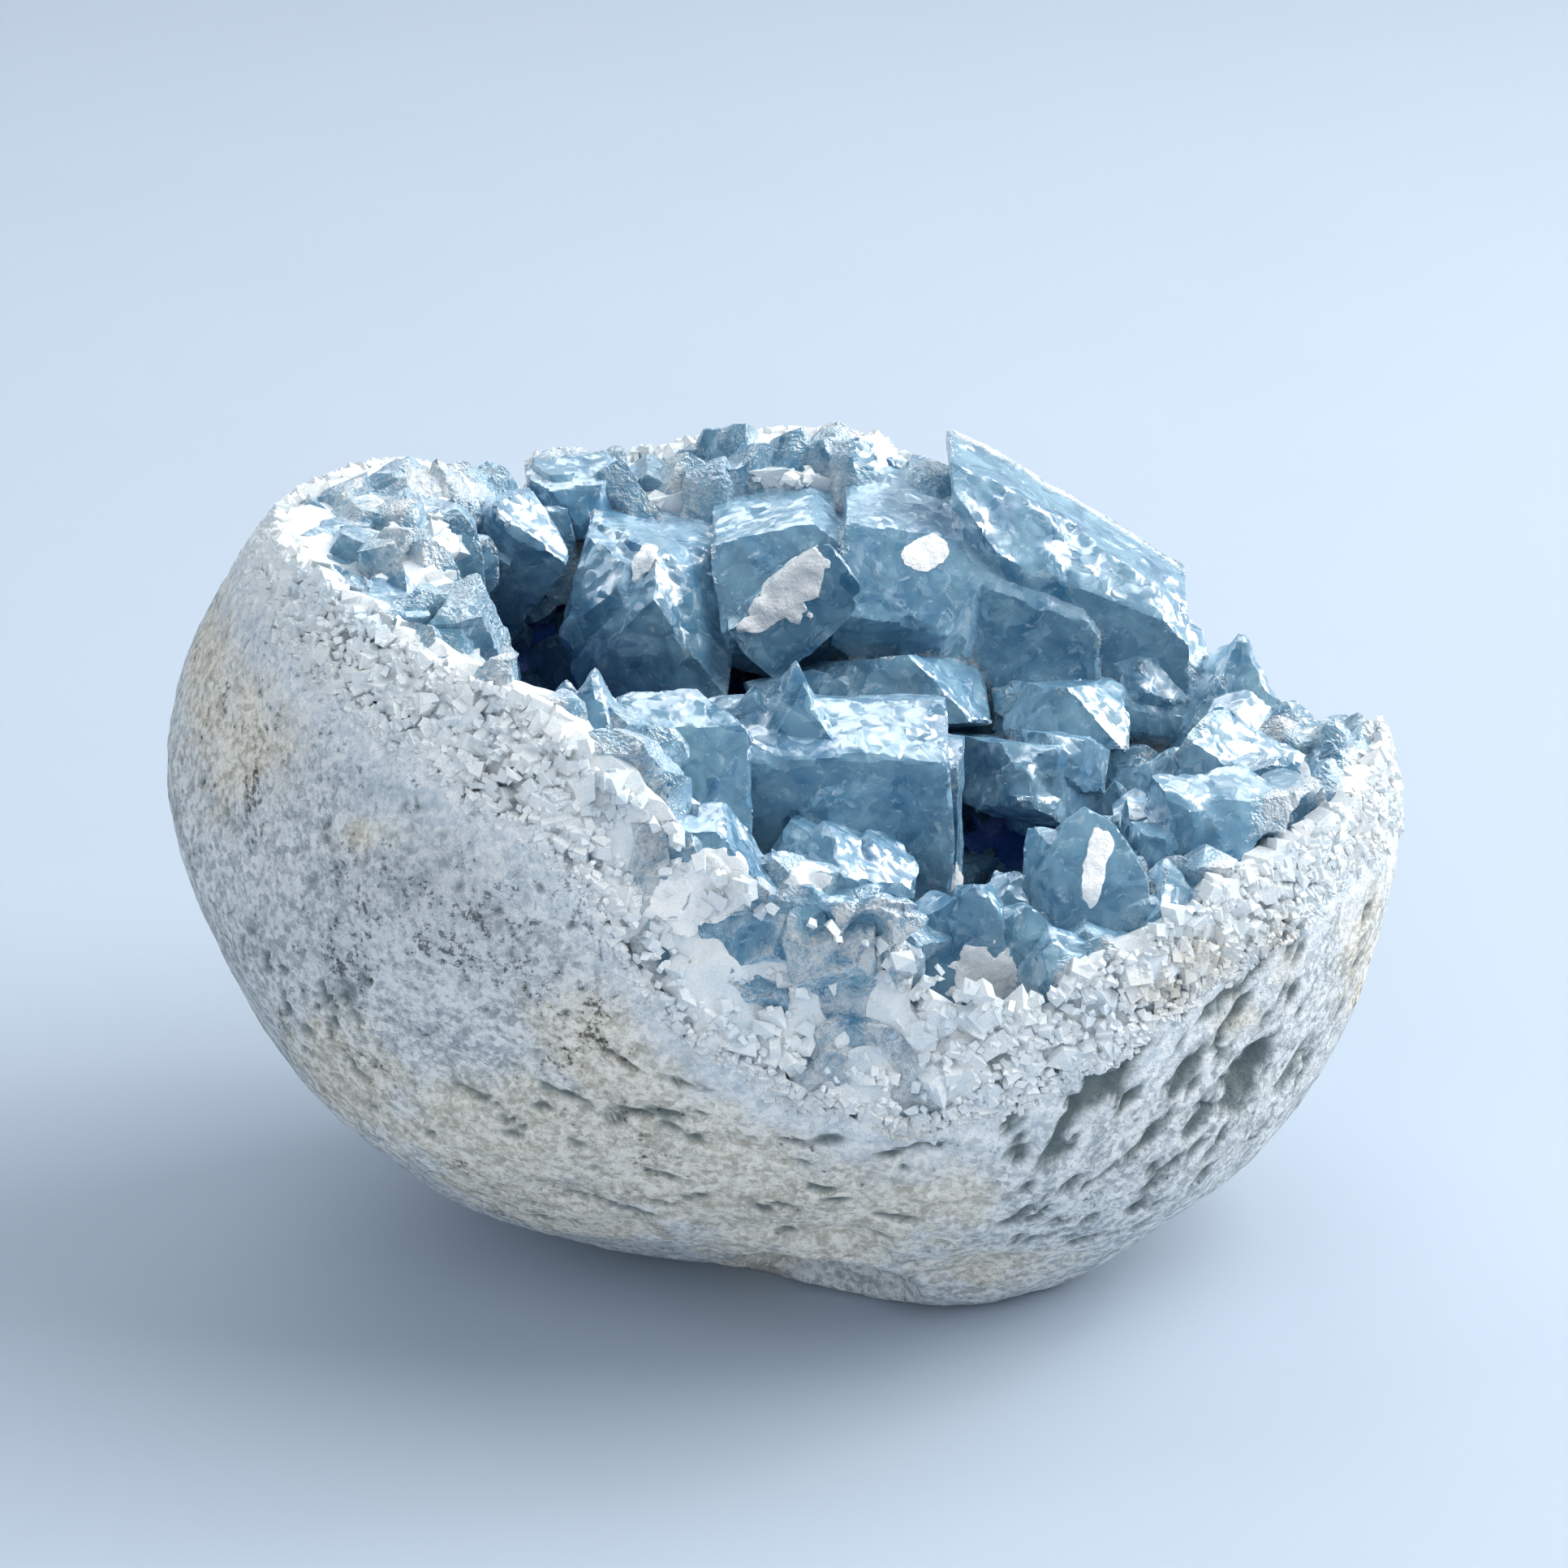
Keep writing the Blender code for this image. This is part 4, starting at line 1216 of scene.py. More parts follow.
@dataclass
class Scatter:
    """Thousands of small shapes in one piece, each a stretched, turned and moved copy of one of a few kinds."""

    name: str
    seed: int
    crease: float = 20

    def build(self, shapes: list[tuple[Array, Array]], places: Array, frames: Array, sizes: Array,
              margin: Array) -> bpy.types.Object:
        """Sets a shape at each place.

        A point of a copy is the place plus the frame times the size times the kind's point. A copy that would
        stand out of the egg's skin is moved back into it.

        Args:
            shapes: the kinds, each with its points and faces.
            places: where each copy's own middle or foot is.
            frames: each copy's axes as columns.
            sizes: each copy's size along its own axes.
            margin: how far inside the egg's skin each copy is kept.

        Returns:
            The piece, with the same numbers stored as the crust has.
        """
        which = np.random.default_rng(self.seed).integers(0, len(shapes), len(places))
        points, faces, count = [], [], 0
        for kind, (shape, rows) in enumerate(shapes):
            mine = np.nonzero(which == kind)[0]
            moved = np.einsum("nij,nvj->nvi", frames[mine], shape[None] * sizes[mine, None, :])
            moved += places[mine, None, :]
            far, out = EGG.outside(moved)
            over = np.maximum(far.max(axis=1) + margin[mine], 0)
            moved -= (out.mean(axis=1) * over[:, None])[:, None, :]
            moved[..., 2] -= np.maximum(moved[..., 2].max(axis=1) - TOP, 0)[:, None]
            points.append(moved.reshape(-1, 3))
            faces.append((rows[None] + count + len(shape) * np.arange(len(mine))[:, None, None]).reshape(-1, 3))
            count += len(mine) * len(shape)
        piece = make_piece(self.name, np.concatenate(points), np.concatenate(faces))
        shade(piece, self.crease)
        Crust.mark(piece)
        return piece


def nearest(blocks: dict[str, Block], points: Array) -> Array:
    """The least distance of points to any of the blocks' shapes."""
    return np.minimum.reduce([block.at(points) for block in blocks.values()])


def frames_along(ways: Array, chance: np.random.Generator) -> Array:
    """Axes whose last column runs along each way, turned about it at random."""
    side = unit(np.cross(ways, chance.normal(size=ways.shape)))
    return np.stack([side, np.cross(ways, side), ways], axis=-1)


def on_skin(angle: Array, height: Array) -> tuple[Array, Array]:
    """Where the egg's skin is this high, going round by angle: found by halving the range of its rise.

    Args:
        angle: the angles round, in radians.
        height: the heights above the floor.

    Returns:
        The points, and the unit ways from the egg's middle to them.
    """
    low, high = np.full(angle.shape, -1.2), np.full(angle.shape, 1.3)
    for _ in range(24):
        rise = (low + high) / 2
        ways = rays_at(angle, rise)
        skin = EGG.skin(ways)
        above = skin[..., 2] > height
        low, high = np.where(above, low, rise), np.where(above, rise, high)
    return skin, ways


def rim_grains(crystals: dict[str, Block]) -> bpy.types.Object:
    """The grains of the band between the stone's edge and the crust's top, of the broken top, and along the edge.

    They are blocks sunk into the crust, so that only their corners and edges stand out.

    Args:
        crystals: the crystals' blocks, which the grains keep clear of.

    Returns:
        The piece.
    """
    chance = np.random.default_rng(77)
    count, seam, tries, on_top = 8600, 3000, 42000, 2000
    angle = chance.uniform(0, TURN, count)
    degrees = np.degrees(angle) % 360
    stone, crust = BREAK.rim(degrees, STONE_TOP), BREAK.rim(degrees, CRUST_TOP)
    share = chance.uniform(0, 1, count)
    skin, ways = on_skin(angle, stone - 0.7 + (crust + 0.6 - stone) * share)
    torn = BREAK.torn(skin[:seam])
    by_edge, edge_ways = on_skin(angle[:seam], stone[:seam] + torn + chance.uniform(-1.2, 1.0, seam))
    skin[:seam], ways[:seam] = by_edge, edge_ways
    bite = Crust().bite(skin)
    sizes = 0.40 + 1.05 * chance.uniform(0, 1, count) ** 3
    sizes[:seam] = 0.28 + 0.5 * chance.uniform(0, 1, seam) ** 2
    places = skin - ways * (0.6 + bite + 0.3 * sizes)[:, None]
    margin = 0.06 + bite * 0.7 + 0.5 * chance.uniform(0, 1, count) ** 2
    x, y = chance.uniform(-64, 64, tries), chance.uniform(-50, 50, tries)
    spots = np.stack([x, y, BREAK.height(x, y, CRUST_TOP) - 2.6 + chance.uniform(-0.8, 0.4, tries)], axis=-1)
    far, _ = EGG.outside(spots)
    spots[:, 2] += 1.7 * (1 - smooth((-far - 1.5) / 4))
    keep = (far < -0.3) & (HOLLOW.outside(spots) > -0.4) & (POCKET.outside(spots) > 0.5)
    keep &= DEEP_GAP.outside(spots) > 0.3
    top = spots[keep][:on_top]
    places, margin = np.concatenate([places, top]), np.concatenate([margin, np.full(len(top), 0.12)])
    sizes = np.concatenate([sizes, 0.4 + 0.8 * chance.uniform(0, 1, len(top)) ** 2])
    clear = (nearest(crystals, places) > 0.45 * sizes) | (chance.random(len(places)) > 0.95)
    places, margin, sizes = places[clear], margin[clear], sizes[clear]
    stretch = chance.uniform(0.65, 1.4, (len(places), 3)) * sizes[:, None]
    lean = np.stack([noise(places, 7.0, 50 + axis) for axis in range(3)], axis=1)
    ways = unit(np.array([0, 0, 1.0]) + 1.3 * lean + chance.normal(0, 0.28, places.shape))
    shapes, frames = grain_shapes(chance, KINDS), frames_along(ways, chance)
    return Scatter("rim_grains", 101).build(shapes, places, frames, stretch, margin)


def small_points(crystals: dict[str, Block]) -> bpy.types.Object:
    """Small crystals on the hollow's wall, pointing in and up.

    Args:
        crystals: the large crystals' blocks, which the small ones keep clear of.

    Returns:
        The piece.
    """
    chance = np.random.default_rng(55)
    count = 1300
    angle, level = chance.uniform(0, TURN, count), chance.uniform(-0.85, 0.45, count)
    reach = np.sqrt(1 - level ** 2)
    way = np.stack([reach * np.cos(angle), reach * np.sin(angle), level], axis=-1)
    places = np.array(HOLLOW.centre) + way * np.array(HOLLOW.half) * 1.03
    keep = (BREAK.over(places, CRUST_TOP) < -4.5) & (DEEP_GAP.outside(places) > 0)
    places, way = places[keep], way[keep]
    ways = unit(-way + np.array([0, 0, 0.5]) + chance.normal(0, 0.35, way.shape))
    clear = nearest(crystals, places + ways * 1.5) > 0.2
    places, ways = places[clear], ways[clear]
    wide = chance.uniform(0.9, 2.5, len(places))
    through, high = (wide * chance.uniform(*share, len(places)) for share in ((0.7, 1.0), (1.5, 2.6)))
    sizes, margin = np.stack([wide, through, high], axis=-1), np.full(len(places), 0.15)
    shapes, frames = point_shapes(chance, KINDS), frames_along(ways, chance)
    return Scatter("small_crystals", 131).build(shapes, places, frames, sizes, margin)


@dataclass
class WhiteFlakes:
    """Chalky white flakes that lie on the crystals, each placed as it is seen from the front; one of them is a painted
    highlight.

    A flake is the layer just outside the crystals' faces, within a ragged ball that is stretched across the picture.
    """

    patches: tuple = (
        # The flake at 795, 690 is a painted highlight: a white sheet laid where a glint falls.
        Patch(975, 715, 62, 40, 48), Patch(1140, 683, 26, 22, 20), Patch(795, 690, 14, 30, -20),
        Patch(1137, 543, 36, 22, 0), Patch(1215, 1210, 42, 62, 10), Patch(1200, 1285, 34, 30, 0),
        Patch(1000, 1082, 26, 20, 10), Patch(1178, 1090, 34, 22, -30), Patch(1352, 1060, 14, 48, -12),
        Patch(930, 770, 22, 14, 0), Patch(860, 1100, 60, 40, 30),
    )
    thick: float = 0.2
    step: float = 0.3
    # How many of the picture's pixels a millimetre takes, where the crystals are.
    scale: float = 11.8
    crease: float = 30

    def build(self, blocks: dict[str, Block]) -> bpy.types.Object:
        """Works out each flake in a small block of its own, and joins them in one piece.

        Args:
            blocks: the shapes that the flakes lie on.

        Returns:
            The piece.
        """
        eye, reach = EYE.place(), np.arange(430.0, 620.0, 0.25)
        points, faces, count = [], [], 0
        for number, patch in enumerate(self.patches):
            ray = EYE.ray(patch.across, patch.down)
            hit = nearest(blocks, eye + ray * reach[:, None]) < 0
            if not hit.any():
                continue
            spot = eye + ray * reach[np.argmax(hit)]
            c, s = math.cos(math.radians(patch.turn)), math.sin(math.radians(patch.turn))
            right, up, into = EYE.axes()
            own = np.stack([right * c + up * s, up * c - right * s, into])
            wide, high = patch.wide / self.scale, patch.high / self.scale
            size = max(wide, high) * 1.4 + 1.0
            block = Block(spot - size, spot + size, self.step)
            at = block.points()
            near = nearest(blocks, at)
            gap = (at - spot) @ own.T / np.array([wide, high, 3.5])
            ragged = 0.30 * block.hills(1.5, number) + 0.16 * block.hills(0.7, number + 40)
            ball = (np.linalg.norm(gap, axis=-1) - 1 + ragged) * min(wide, high)
            thick = self.thick * (0.75 + 0.5 * block.hills(0.9, number + 80))
            block.far = np.maximum.reduce([near - thick, -(near + 0.6), ball]).astype(np.float32)
            block.far[[0, -1]] = block.far[:, [0, -1]] = block.far[:, :, [0, -1]] = 1.0
            block.out = block.slopes(block.far).astype(np.float32)
            if (block.far < 0).any():
                made, rows = tidy_faces(*block.surface())
                points.append(made)
                faces.append(rows + count)
                count += len(made)
        piece = make_piece("white_flakes", np.concatenate(points), np.concatenate(faces))
        shade(piece, self.crease)
        return piece


class Graph:
    """Adds nodes to a material or to a node group, and joins them."""

    def __init__(self, tree: bpy.types.NodeTree) -> None:
        """Starts from an existing tree."""
        self.tree = tree

    def add(self, kind: str, **settings: object) -> bpy.types.Node:
        """A new node of that kind, with these of its settings changed."""
        node = self.tree.nodes.new(kind)
        for key, value in settings.items():
            setattr(node, key, value)
        return node

    def feed(self, socket: bpy.types.NodeSocket, value: object) -> None:
        """Joins a socket to another node's output, or sets its number or colour."""
        if isinstance(value, bpy.types.NodeSocket):
            self.tree.links.new(value, socket)
        elif isinstance(value, tuple) and len(value) == 3 and socket.type == "RGBA":
            socket.default_value = (*value, 1.0)
        else:
            socket.default_value = value

    def math(self, operation: str, first: object, second: object, clamp: bool = False) -> object:
        """A sum on two numbers, held between 0 and 1 if clamp says so."""
        node = self.add("ShaderNodeMath", operation=operation, use_clamp=clamp)
        self.feed(node.inputs[0], first)
        self.feed(node.inputs[1], second)
        return node.outputs[0]

    def plus(self, first: object, second: object) -> object:
        """The first number plus the second."""
        return self.math("ADD", first, second)

    def minus(self, first: object, second: object) -> object:
        """The first number less the second."""
        return self.math("SUBTRACT", first, second)

    def times(self, first: object, second: object, clamp: bool = False) -> object:
        """The first number times the second, held between 0 and 1 if clamp says so."""
        return self.math("MULTIPLY", first, second, clamp)

    def vectors(self, operation: str, *parts: object) -> bpy.types.Node:
        """A sum on vectors."""
        node = self.add("ShaderNodeVectorMath", operation=operation)
        for socket, part in zip(node.inputs, parts):
            self.feed(socket, part)
        return node

    def stretch(self, value: object, low: float, high: float, to_low: float = 0.0, to_high: float = 1.0) -> object:
        """Carries a range of numbers to another, eased at its ends.

        Args:
            value: the number.
            low: the range's start.
            high: the range's end.
            to_low: what the start becomes.
            to_high: what the end becomes.

        Returns:
            The output's socket.
        """
        node = self.add("ShaderNodeMapRange", interpolation_type="SMOOTHSTEP")
        for socket, number in zip(node.inputs, (value, low, high, to_low, to_high)):
            self.feed(socket, number)
        return node.outputs[0]

    def mix(self, share: object, first: object, second: object) -> object:
        """A mix of two colours: the share is the second's."""
        node = self.add("ShaderNodeMix", data_type="RGBA")
        for number, value in ((0, share), (6, first), (7, second)):
            self.feed(node.inputs[number], value)
        return node.outputs[2]

    def noise(self, vector: object, scale: float, detail: float = 3.0, rough: float = 0.55,
              bent: float = 0.0) -> bpy.types.Node:
        """Cloudy noise.

        Args:
            vector: where it is read.
            scale: how many times it comes to a millimetre.
            detail: how many finer layers it has.
            rough: how strong they are.
            bent: how much it is distorted.

        Returns:
            The node.
        """
        node = self.add("ShaderNodeTexNoise")
        self.feed(node.inputs["Vector"], vector)
        for key, number in (("Scale", scale), ("Detail", detail), ("Roughness", rough), ("Distortion", bent)):
            node.inputs[key].default_value = number
        return node

    def cloud(self, *given: object) -> object:
        """Cloudy noise from 0 to 1."""
        return self.noise(*given).outputs["Fac"]

    def cells(self, vector: object, scale: float) -> bpy.types.Node:
        """Cells round random points, so many to a millimetre."""
        node = self.add("ShaderNodeTexVoronoi")
        self.feed(node.inputs["Vector"], vector)
        node.inputs["Scale"].default_value = scale
        return node

    def parts(self, colour: object) -> bpy.types.NodeOutputs:
        """A colour's three numbers: for a cell's colour, three random ones."""
        node = self.add("ShaderNodeSeparateColor")
        self.feed(node.inputs[0], colour)
        return node.outputs

    def stored(self, name: str) -> object:
        """The number that a mesh stores for each point."""
        return self.add("ShaderNodeAttribute", attribute_name=name).outputs["Fac"]

    def place(self) -> object:
        """Object coordinates in millimetres."""
        node = self.add("ShaderNodeMapping")
        self.feed(node.inputs["Vector"], self.add("ShaderNodeTexCoord").outputs["Object"])
        node.inputs["Scale"].default_value = (1 / MM, 1 / MM, 1 / MM)
        return node.outputs[0]

    def speckled(self, grains: dict, pale: Point, middle: Point, dark: Point) -> object:
        """Colours the salt and pepper group's grains from middle to pale, and its specks dark."""
        return self.mix(grains["Specks"], self.mix(grains["Light"], middle, pale), dark)

    def bump(self, height: object, strength: float, distance: float, under: object = None) -> object:
        """Relief in the shading.

        Args:
            height: the relief's height, from 0 to 1.
            strength: how much of it shows.
            distance: how many millimetres high it is.
            under: other relief that this one is laid on.

        Returns:
            The socket of the normal.
        """
        node = self.add("ShaderNodeBump")
        node.inputs["Strength"].default_value = strength
        node.inputs["Distance"].default_value = distance * MM
        self.feed(node.inputs["Height"], height)
        if under is not None:
            self.feed(node.inputs["Normal"], under)
        return node.outputs[0]


def new_group(name: str, given: dict[str, tuple], made: dict[str, str]) -> tuple[Graph, dict, dict]:
    """A shader node group.

    Args:
        name: the group's name.
        given: its inputs, by name: the socket type and the default value.
        made: its outputs, by name: the socket type.

    Returns:
        The group's graph, its inputs' sockets and its outputs' sockets.
    """
    tree = bpy.data.node_groups.new(name, "ShaderNodeTree")
    for key, (kind, value) in given.items():
        socket = tree.interface.new_socket(name=key, in_out="INPUT", socket_type=kind)
        if value is not None:
            socket.default_value = value
    for key, kind in made.items():
        tree.interface.new_socket(name=key, in_out="OUTPUT", socket_type=kind)
    start, end = tree.nodes.new("NodeGroupInput"), tree.nodes.new("NodeGroupOutput")
    return Graph(tree), {s.name: s for s in start.outputs if s.name}, {s.name: s for s in end.inputs if s.name}


def speckle_group() -> bpy.types.NodeTree:
    """Salt and pepper: grains of a millimetre or less, each a little lighter or darker, with dark specks.

    Its outputs are how light the grains are, how dark the specks are, and the height of the grains.
    """
    graph, given, made = new_group(
        "salt_and_pepper",
        {"Vector": (VECTOR, None), "Dark Share": (NUMBER, 0.5)},
        {"Light": NUMBER, "Specks": NUMBER, "Height": NUMBER},
    )
    at = given["Vector"]
    fine, coarse = graph.cloud(at, 1.25, 4.0, 0.78), graph.cloud(at, 0.33, 2.0, 0.6)
    tone = graph.parts(graph.cells(at, 1.25).outputs["Color"])
    blend = graph.plus(graph.times(fine, 0.62), graph.times(tone[0], 0.13))
    blend = graph.plus(blend, graph.times(coarse, 0.25))
    speck = graph.plus(graph.times(fine, 0.7), graph.times(coarse, 0.3))
    limit = graph.plus(0.30, graph.times(given["Dark Share"], 0.17))
    depth = graph.times(graph.minus(limit, speck), 10.0, clamp=True)
    graph.feed(made["Light"], graph.stretch(blend, 0.37, 0.62))
    graph.feed(made["Specks"], depth)
    height = graph.plus(graph.times(fine, 0.6), graph.times(tone[1], 0.35))
    graph.feed(made["Height"], graph.minus(height, graph.times(depth, 0.5)))
    return graph.tree


def frost_group() -> bpy.types.NodeTree:
    """Frost: etched patches with ragged edges, and the small bright flakes in them."""
    graph, given, made = new_group(
        "frost",
        {"Vector": (VECTOR, None), "Cover": (NUMBER, 0.3)},
        {"Mask": NUMBER, "Flakes": NUMBER, "Height": NUMBER},
    )
    at = given["Vector"]
    fine = graph.cloud(at, 2.2, 1.0, 0.6)
    edge = graph.plus(graph.times(graph.cloud(at, 0.42, 4.0, 0.74, 0.6), 0.8), graph.times(fine, 0.2))
    limit = graph.minus(0.72, graph.times(given["Cover"], 0.42))
    tone = graph.parts(graph.cells(at, 1.9).outputs["Color"])
    graph.feed(made["Mask"], graph.times(graph.minus(edge, limit), 5.5, clamp=True))
    graph.feed(made["Flakes"], graph.stretch(tone[0], 0.55, 0.95))
    graph.feed(made["Height"], graph.plus(graph.times(tone[1], 0.6), fine))
    return graph.tree


def shatter_group() -> bpy.types.NodeTree:
    """What shows inside a clear crystal: cells with a tone of their own between cracks, and feathery veils.

    The height that it gives is a plane in each cell, which leans its own way from the middle of the cell.
    """
    graph, given, made = new_group(
        "shattered_inside",
        {"Vector": (VECTOR, None), "Dark": (COLOUR, (0.05, 0.2, 0.32, 1)), "Pale": (COLOUR, (0.5, 0.7, 0.8, 1))},
        {"Color": COLOUR, "Veil": NUMBER, "Height": NUMBER},
    )
    at, half, reach = given["Vector"], (0.5, 0.5, 0.5), (5.0, 5.0, 5.0)
    bend = graph.noise(at, 0.28, 1.0, 0.5).outputs["Color"]
    bent = graph.vectors("MULTIPLY_ADD", bend, reach, at).outputs[0]
    tones, facets = [], []
    for scale in (0.30, 0.80):
        cell = graph.cells(bent, scale)
        tones.append(graph.parts(cell.outputs["Color"])[0])
        lean = graph.vectors("SUBTRACT", cell.outputs["Color"], half).outputs[0]
        spot = graph.vectors("SUBTRACT", bent, cell.outputs["Position"]).outputs[0]
        facets.append(graph.vectors("DOT_PRODUCT", lean, spot).outputs["Value"])
    cloud = graph.stretch(graph.cloud(at, 0.20, 3.0, 0.68, 0.6), 0.32, 0.68)
    tone = graph.plus(graph.times(tones[0], 0.42), graph.times(tones[1], 0.24))
    tone = graph.math("MINIMUM", graph.plus(tone, graph.times(cloud, 0.40)), 1.0)
    graph.feed(made["Color"], graph.mix(tone, given["Dark"], given["Pale"]))
    graph.feed(made["Veil"], graph.stretch(graph.cloud(bent, 0.8, 3.0, 0.74), 0.55, 0.72))
    graph.feed(made["Height"], graph.plus(facets[0], graph.times(facets[1], 1.2)))
    return graph.tree


@dataclass(frozen=True)
class Finish:
    """A finish: its name, and the plain numbers of its shader."""

    name: str
    transmission: float = 0.0
    ior: float = 1.5
    absorb: tuple = (0.3, 0.6, 0.85)
    density: float = 0.0

    def start(self) -> tuple[bpy.types.Material, Graph, bpy.types.Node]:
        """A new material with its shader's plain numbers set.

        Returns:
            The material, its graph and its shader.
        """
        material = bpy.data.materials.new(self.name)
        material.use_nodes = True
        graph = Graph(material.node_tree)
        shader = material.node_tree.nodes["Principled BSDF"]
        shader.inputs["Transmission Weight"].default_value = self.transmission
        shader.inputs["IOR"].default_value = self.ior
        if self.density > 0:
            volume = graph.add("ShaderNodeVolumeAbsorption")
            volume.inputs["Color"].default_value = (*self.absorb, 1.0)
            volume.inputs["Density"].default_value = self.density
            graph.feed(material.node_tree.nodes["Material Output"].inputs["Volume"], volume.outputs[0])
        return material, graph, shader


def use_group(graph: Graph, tree: bpy.types.NodeTree, **given: object) -> dict:
    """Places a node group and joins its inputs, which are named with _ for each space.

    Args:
        graph: the material's graph.
        tree: the group.
        given: what its inputs are joined or set to.

    Returns:
        The group's outputs by name.
    """
    node = graph.add("ShaderNodeGroup", node_tree=tree)
    for key, value in given.items():
        graph.feed(node.inputs[key.replace("_", " ")], value)
    return {socket.name: socket for socket in node.outputs}


@dataclass(frozen=True)
class StoneFinish(Finish):
    """The rind: matt grains of grey-blue stone, stained brown in places, darker grey where painted shade lies, and
    white where the crystals begin.
    """

    def dress(self, piece: bpy.types.Object, speckle: bpy.types.NodeTree) -> None:
        """Makes the material and gives it to the rind.

        Args:
            piece: the rind, which holds the numbers rise, stain, pit, grey and blue.
            speckle: the salt and pepper group.
        """
        material, graph, shader = self.start()
        at = graph.place()
        rise, stain, pit = graph.stored("rise"), graph.stored("stain"), graph.stored("pit")
        grey, blue = graph.stored("grey"), graph.stored("blue")
        large = graph.cloud(at, 0.11, 4.0, 0.6)
        # The grey number is painted shade on the front: it adds dark specks and darkens the tone.
        dark_share = graph.plus(graph.stretch(large, 0.35, 0.7, 0.15, 0.75), graph.times(grey, 0.55))
        grains = use_group(graph, speckle, Vector=at, Dark_Share=dark_share)
        stone = graph.speckled(grains, (0.90, 0.93, 0.94), (0.35, 0.40, 0.435), (0.07, 0.10, 0.13))
        tone = graph.mix(graph.times(grey, 0.45), stone, (0.30, 0.34, 0.38))
        tone = graph.mix(graph.stretch(large, 0.5, 0.75, 0.0, 0.4), tone, (0.74, 0.79, 0.82))
        tone = graph.mix(graph.times(blue, 0.7), tone, (0.30, 0.42, 0.54))
        earth = graph.speckled(grains, (0.97, 0.93, 0.84), (0.50, 0.465, 0.385), (0.11, 0.10, 0.08))
        ragged = graph.cloud(at, 0.5, 3.0, 0.72)
        edge = graph.plus(graph.times(stain, 1.5), graph.minus(ragged, 1.0))
        tone = graph.mix(graph.stretch(edge, -0.42, 0.25, 0.0, 0.95), tone, earth)
        near = graph.plus(rise, graph.times(graph.cloud(at, 0.22, 3.0, 0.68), 14.0))
        white = graph.stretch(near, -3.5, 7.0, 0.0, 0.94)
        sugar = graph.mix(grains["Light"], (0.60, 0.69, 0.77), (0.90, 0.93, 0.95))
        tone = graph.mix(white, tone, sugar)
        # The pits' dark greenish colour: partly the stone's own, partly painted shade in the recesses.
        tone = graph.mix(graph.times(pit, 0.9), tone, (0.11, 0.155, 0.16))
        graph.feed(shader.inputs["Base Color"], tone)
        graph.feed(shader.inputs["Roughness"], graph.stretch(grains["Light"], 0.0, 1.0, 0.9, 0.64))
        shader.inputs["Specular IOR Level"].default_value = 0.4
        graph.feed(shader.inputs["Normal"], graph.bump(grains["Height"], 1.0, 0.95))
        piece.data.materials.append(material)


@dataclass(frozen=True)
class SugarFinish(Finish):
    """Sugary crust: milky white to pale blue grains, clearer and a deep blue down in the hollow, where the blue is
    painted shade.
    """

    def dress(self, pieces: list[bpy.types.Object], speckle: bpy.types.NodeTree) -> None:
        """Makes the material and gives it to the pieces.

        Args:
            pieces: the crust and its grains, which hold the numbers rise, deep and stain; deep sets the painted shade.
            speckle: the salt and pepper group.
        """
        material, graph, shader = self.start()
        at = graph.place()
        rise, deep, stain = graph.stored("rise"), graph.stored("deep"), graph.stored("stain")
        grains = use_group(graph, speckle, Vector=at, Dark_Share=0.15)
        tone = graph.speckled(grains, (0.95, 0.98, 0.99), (0.84, 0.91, 0.95), (0.62, 0.73, 0.81))
        large = graph.cloud(at, 0.13, 3.0, 0.6)
        tone = graph.mix(graph.stretch(large, 0.48, 0.70, 0.0, 0.45), tone, (0.58, 0.74, 0.86))
        stone = graph.speckled(grains, (0.92, 0.95, 0.96), (0.60, 0.67, 0.73), (0.24, 0.30, 0.36))
        near = graph.plus(rise, graph.times(graph.cloud(at, 0.22, 3.0, 0.68), 8.0))
        tone = graph.mix(graph.stretch(near, 2.0, 8.0, 0.6, 0.0), tone, stone)
        tone = graph.mix(graph.times(stain, 0.8), tone, (0.62, 0.56, 0.46))
        # Painted shade: dark saturated blue deep down in the hollow.
        tone = graph.mix(graph.times(deep, 0.97), tone, (0.004, 0.09, 0.48))
        graph.feed(shader.inputs["Base Color"], tone)
        graph.feed(shader.inputs["Roughness"], graph.stretch(grains["Light"], 0.0, 1.0, 0.5, 0.2))
        graph.feed(shader.inputs["Normal"], graph.bump(grains["Height"], 0.6, 0.35))
        for piece in pieces:
            piece.data.materials.append(material)


